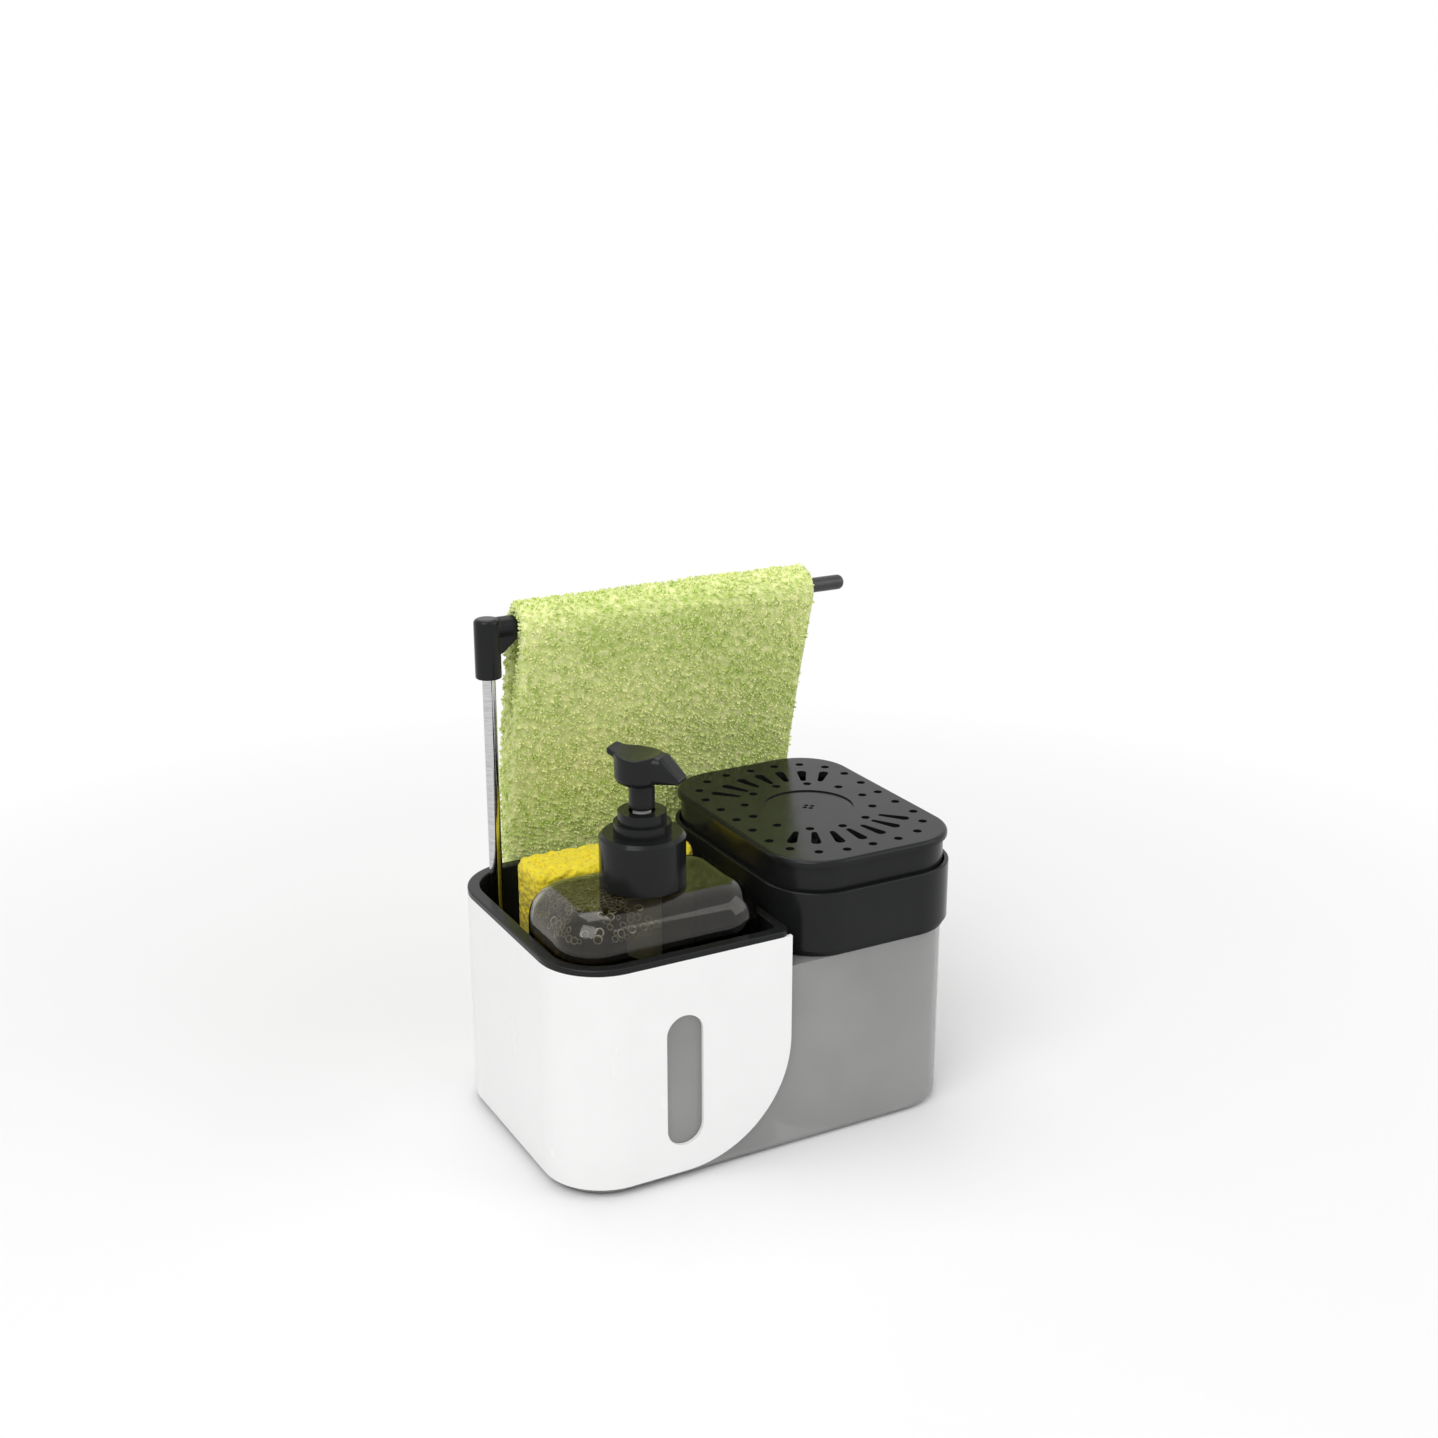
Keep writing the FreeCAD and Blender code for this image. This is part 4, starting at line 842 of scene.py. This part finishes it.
FOAM_CENTRE_DROP = 30 * MM
FOAM_CUTS = 3
FOAM_OFFSET = 0.45 * MM
FOAM_PATCH_SCALE = 70
BUBBLE_SPACING = 1.7
BUBBLE_DENSITY = 900000.0
BUBBLE_EDGE = 0.26 * MM
BUBBLE_TILT = 0.15
BUBBLE_SEED = 5


def clamped(value):
    return max(0.0, min(1.0, value))


class CADDY_OT_foam(bpy.types.Operator):
    """Makes the ring-edged bubbles that cling to the inside of the bottle's shoulder"""

    bl_idname = "caddy.foam"
    bl_label = "Foam"

    def execute(self, context):
        size = sizes()
        helper = placed("foam_form", self.inner_shoulder(size))
        tree = scatter_tree("foam_bubbles", bubble_shape, size.bubble_size * BUBBLE_SPACING)
        foam = scattered(
            "soap_foam", helper, tree, Density=BUBBLE_DENSITY, Length=BUBBLE_EDGE,
            Width=size.bubble_size, Tilt=BUBBLE_TILT, Seed=BUBBLE_SEED,
            Finish=soap_foam("soap_foam"))
        bpy.data.objects.remove(helper)
        smooth_faces(foam)
        new_piece("soap_foam", foam, "pump_bottle", "smoky_bottle")
        return {"FINISHED"}

    def inner_shoulder(self, size):
        """The bottle's inner wall below its shoulder, with more foam to its left."""
        low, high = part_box("bottle")
        middle = (low + high) / 2
        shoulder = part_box("pump_closure")[0].z
        centre = Vector((middle.x, middle.y, shoulder - FOAM_CENTRE_DROP))
        mesh = merged_copy("bottle")
        wall = bmesh.new()
        wall.from_mesh(mesh)
        wall.normal_update()
        bare = []
        for face in wall.faces:
            spot = face.calc_center_median()
            held = shoulder - size.foam_height < spot.z < shoulder
            if not held or face.normal.dot(centre - spot) < 0:
                bare.append(face)
        bmesh.ops.delete(wall, geom=bare, context="FACES")
        bmesh.ops.triangulate(wall, faces=wall.faces)
        bmesh.ops.subdivide_edges(wall, edges=wall.edges, cuts=FOAM_CUTS, use_grid_fill=True)
        wall.normal_update()
        share = wall.verts.layers.float.new("share")
        for vert in wall.verts:
            across = (vert.co.x - low.x) / (high.x - low.x)
            patch = 0.75 + noise.noise(vert.co * FOAM_PATCH_SCALE)
            vert[share] = clamped(1.6 - 3.2 * across) * clamped(patch * 1.6)
            vert.co += vert.normal * FOAM_OFFSET
        wall.to_mesh(mesh)
        wall.free()
        return mesh


# Stage

# Each lamp's name, place, width in metres and power in watts
LAMPS = (
    ("key", (-0.75, -0.55, 1.15), 0.9, 9.0),
    ("fill", (0.95, -0.75, 0.75), 1.0, 4.4),
    ("top", (0.05, 0.35, 1.3), 0.8, 4.6))
LAMP_AIM = (0, 0, 0.1)
FLOOR_HALF = 6.0
FADE_START = 0.22
FADE_END = 0.62
WORLD_LIGHT = 0.45
WORLD_SEEN = 1.0
# The fitted camera: the photograph's focal length and width in pixels, and angles in degrees
SENSOR_WIDTH = 36.0
FOCAL_PIXELS = 1894.3
FRAME_PIXELS = 1438
CAMERA_PLACE = (-0.380, -0.705, 0.4443)
CAMERA_DOWN = 17.96
CAMERA_TURN = -28.715


def seen_directly(tree):
    """One where a surface is looked at, mirrored or seen through, and nought where it lights."""
    path = tree.nodes.new("ShaderNodeLightPath")
    seen = path.outputs["Is Camera Ray"]
    for name in ("Is Glossy Ray", "Is Transmission Ray"):
        either = tree.nodes.new("ShaderNodeMath")
        either.operation = "MAXIMUM"
        tree.links.new(seen, either.inputs[0])
        tree.links.new(path.outputs[name], either.inputs[1])
        seen = either.outputs[0]
    return seen


class CADDY_OT_stage(bpy.types.Operator):
    """Makes the pale floor, the soft studio light and the camera"""

    bl_idname = "caddy.stage"
    bl_label = "Stage"

    def execute(self, context):
        scene = context.scene
        scene.view_settings.view_transform = "Standard"
        self.make_floor()
        self.make_world(scene)
        for lamp in LAMPS:
            self.make_lamp(*lamp)
        self.make_camera(scene)
        return {"FINISHED"}

    def make_floor(self):
        sheet = bmesh.new()
        bmesh.ops.create_grid(sheet, x_segments=1, y_segments=1, size=FLOOR_HALF)
        mesh = bpy.data.meshes.new("floor")
        sheet.to_mesh(mesh)
        sheet.free()
        floor = placed("floor", mesh)
        pale = Finish("pale_floor").set(roughness=0.7, specular_ior_level=0.2)
        pale.colour_by(pale.noise(3, 2), (0.90, 0.90, 0.90), (0.92, 0.92, 0.92))
        self.fade_to_white(pale)
        mesh.materials.append(pale.material)

    def fade_to_white(self, pale):
        """Let the floor run out into a white backdrop, away from the caddy and its shadow."""
        nodes = pale.tree.nodes
        links = pale.tree.links
        reach = nodes.new("ShaderNodeVectorMath")
        reach.operation = "LENGTH"
        links.new(pale.place, reach.inputs[0])
        far = pale.spread(reach.outputs["Value"], 0.0, 1.0, FADE_START, FADE_END)
        away = product(pale.tree, far, seen_directly(pale.tree))
        white = nodes.new("ShaderNodeEmission")
        mixed = nodes.new("ShaderNodeMixShader")
        links.new(away, mixed.inputs["Fac"])
        links.new(pale.shader.outputs["BSDF"], mixed.inputs[1])
        links.new(white.outputs["Emission"], mixed.inputs[2])
        links.new(mixed.outputs["Shader"], nodes["Material Output"].inputs["Surface"])

    def make_world(self, scene):
        """White where it is seen, and a weaker soft light on the caddy."""
        world = bpy.data.worlds.new("studio")
        scene.world = world
        world.use_nodes = True
        tree = world.node_tree
        back = tree.nodes["Background"]
        level = tree.nodes.new("ShaderNodeMapRange")
        level.inputs["To Min"].default_value = WORLD_LIGHT
        level.inputs["To Max"].default_value = WORLD_SEEN
        tree.links.new(seen_directly(tree), level.inputs["Value"])
        tree.links.new(level.outputs["Result"], back.inputs["Strength"])
        back.inputs["Color"].default_value = (1, 1, 1, 1)

    def make_lamp(self, name, place, width, power):
        data = bpy.data.lights.new(name, "AREA")
        data.shape = "SQUARE"
        data.size = width
        data.energy = power
        lamp = placed(name, data)
        lamp.location = place
        aim = Vector(LAMP_AIM) - Vector(place)
        lamp.rotation_euler = aim.to_track_quat("-Z", "Y").to_euler()

    def make_camera(self, scene):
        """The photograph's own viewpoint, found from the rims and the tray's hole pattern."""
        data = bpy.data.cameras.new("camera")
        data.sensor_width = SENSOR_WIDTH
        data.lens = SENSOR_WIDTH * FOCAL_PIXELS / FRAME_PIXELS
        data.clip_start = 10 * MM
        camera = placed("camera", data)
        camera.location = CAMERA_PLACE
        camera.rotation_euler = Euler(
            (math.radians(90 - CAMERA_DOWN), 0, math.radians(CAMERA_TURN)))
        scene.camera = camera


STEPS = (
    CADDY_OT_mouldings, CADDY_OT_eased_pieces, CADDY_OT_springs, CADDY_OT_towel,
    CADDY_OT_sponge, CADDY_OT_foam, CADDY_OT_stage)


class CADDY_PT_panel(bpy.types.Panel):
    """Lists the steps that dress the caddy"""

    bl_label = "Soap Pump Caddy"
    bl_space_type = "VIEW_3D"
    bl_region_type = "UI"
    bl_category = "Caddy"

    def draw(self, context):
        for step in STEPS:
            self.layout.operator(step.bl_idname)
        for group in (context.scene.caddy_sizes, context.scene.caddy_colours):
            for name in group.bl_rna.properties.keys():
                if name not in ("rna_type", "name"):
                    self.layout.prop(group, name)


CLASSES = (CaddyColours, CaddySizes, *STEPS, CADDY_PT_panel)


def register():
    for kind in CLASSES:
        bpy.utils.register_class(kind)
    bpy.types.Scene.caddy_colours = bpy.props.PointerProperty(type=CaddyColours)
    bpy.types.Scene.caddy_sizes = bpy.props.PointerProperty(type=CaddySizes)


def unregister():
    del bpy.types.Scene.caddy_sizes
    del bpy.types.Scene.caddy_colours
    for kind in reversed(CLASSES):
        bpy.utils.unregister_class(kind)


def main():
    register()
    bpy.ops.caddy.mouldings()
    bpy.ops.caddy.eased_pieces()
    bpy.ops.caddy.springs()
    bpy.ops.caddy.towel()
    bpy.ops.caddy.sponge()
    bpy.ops.caddy.foam()
    bpy.ops.caddy.stage()


if __name__ == "__main__":
    main()
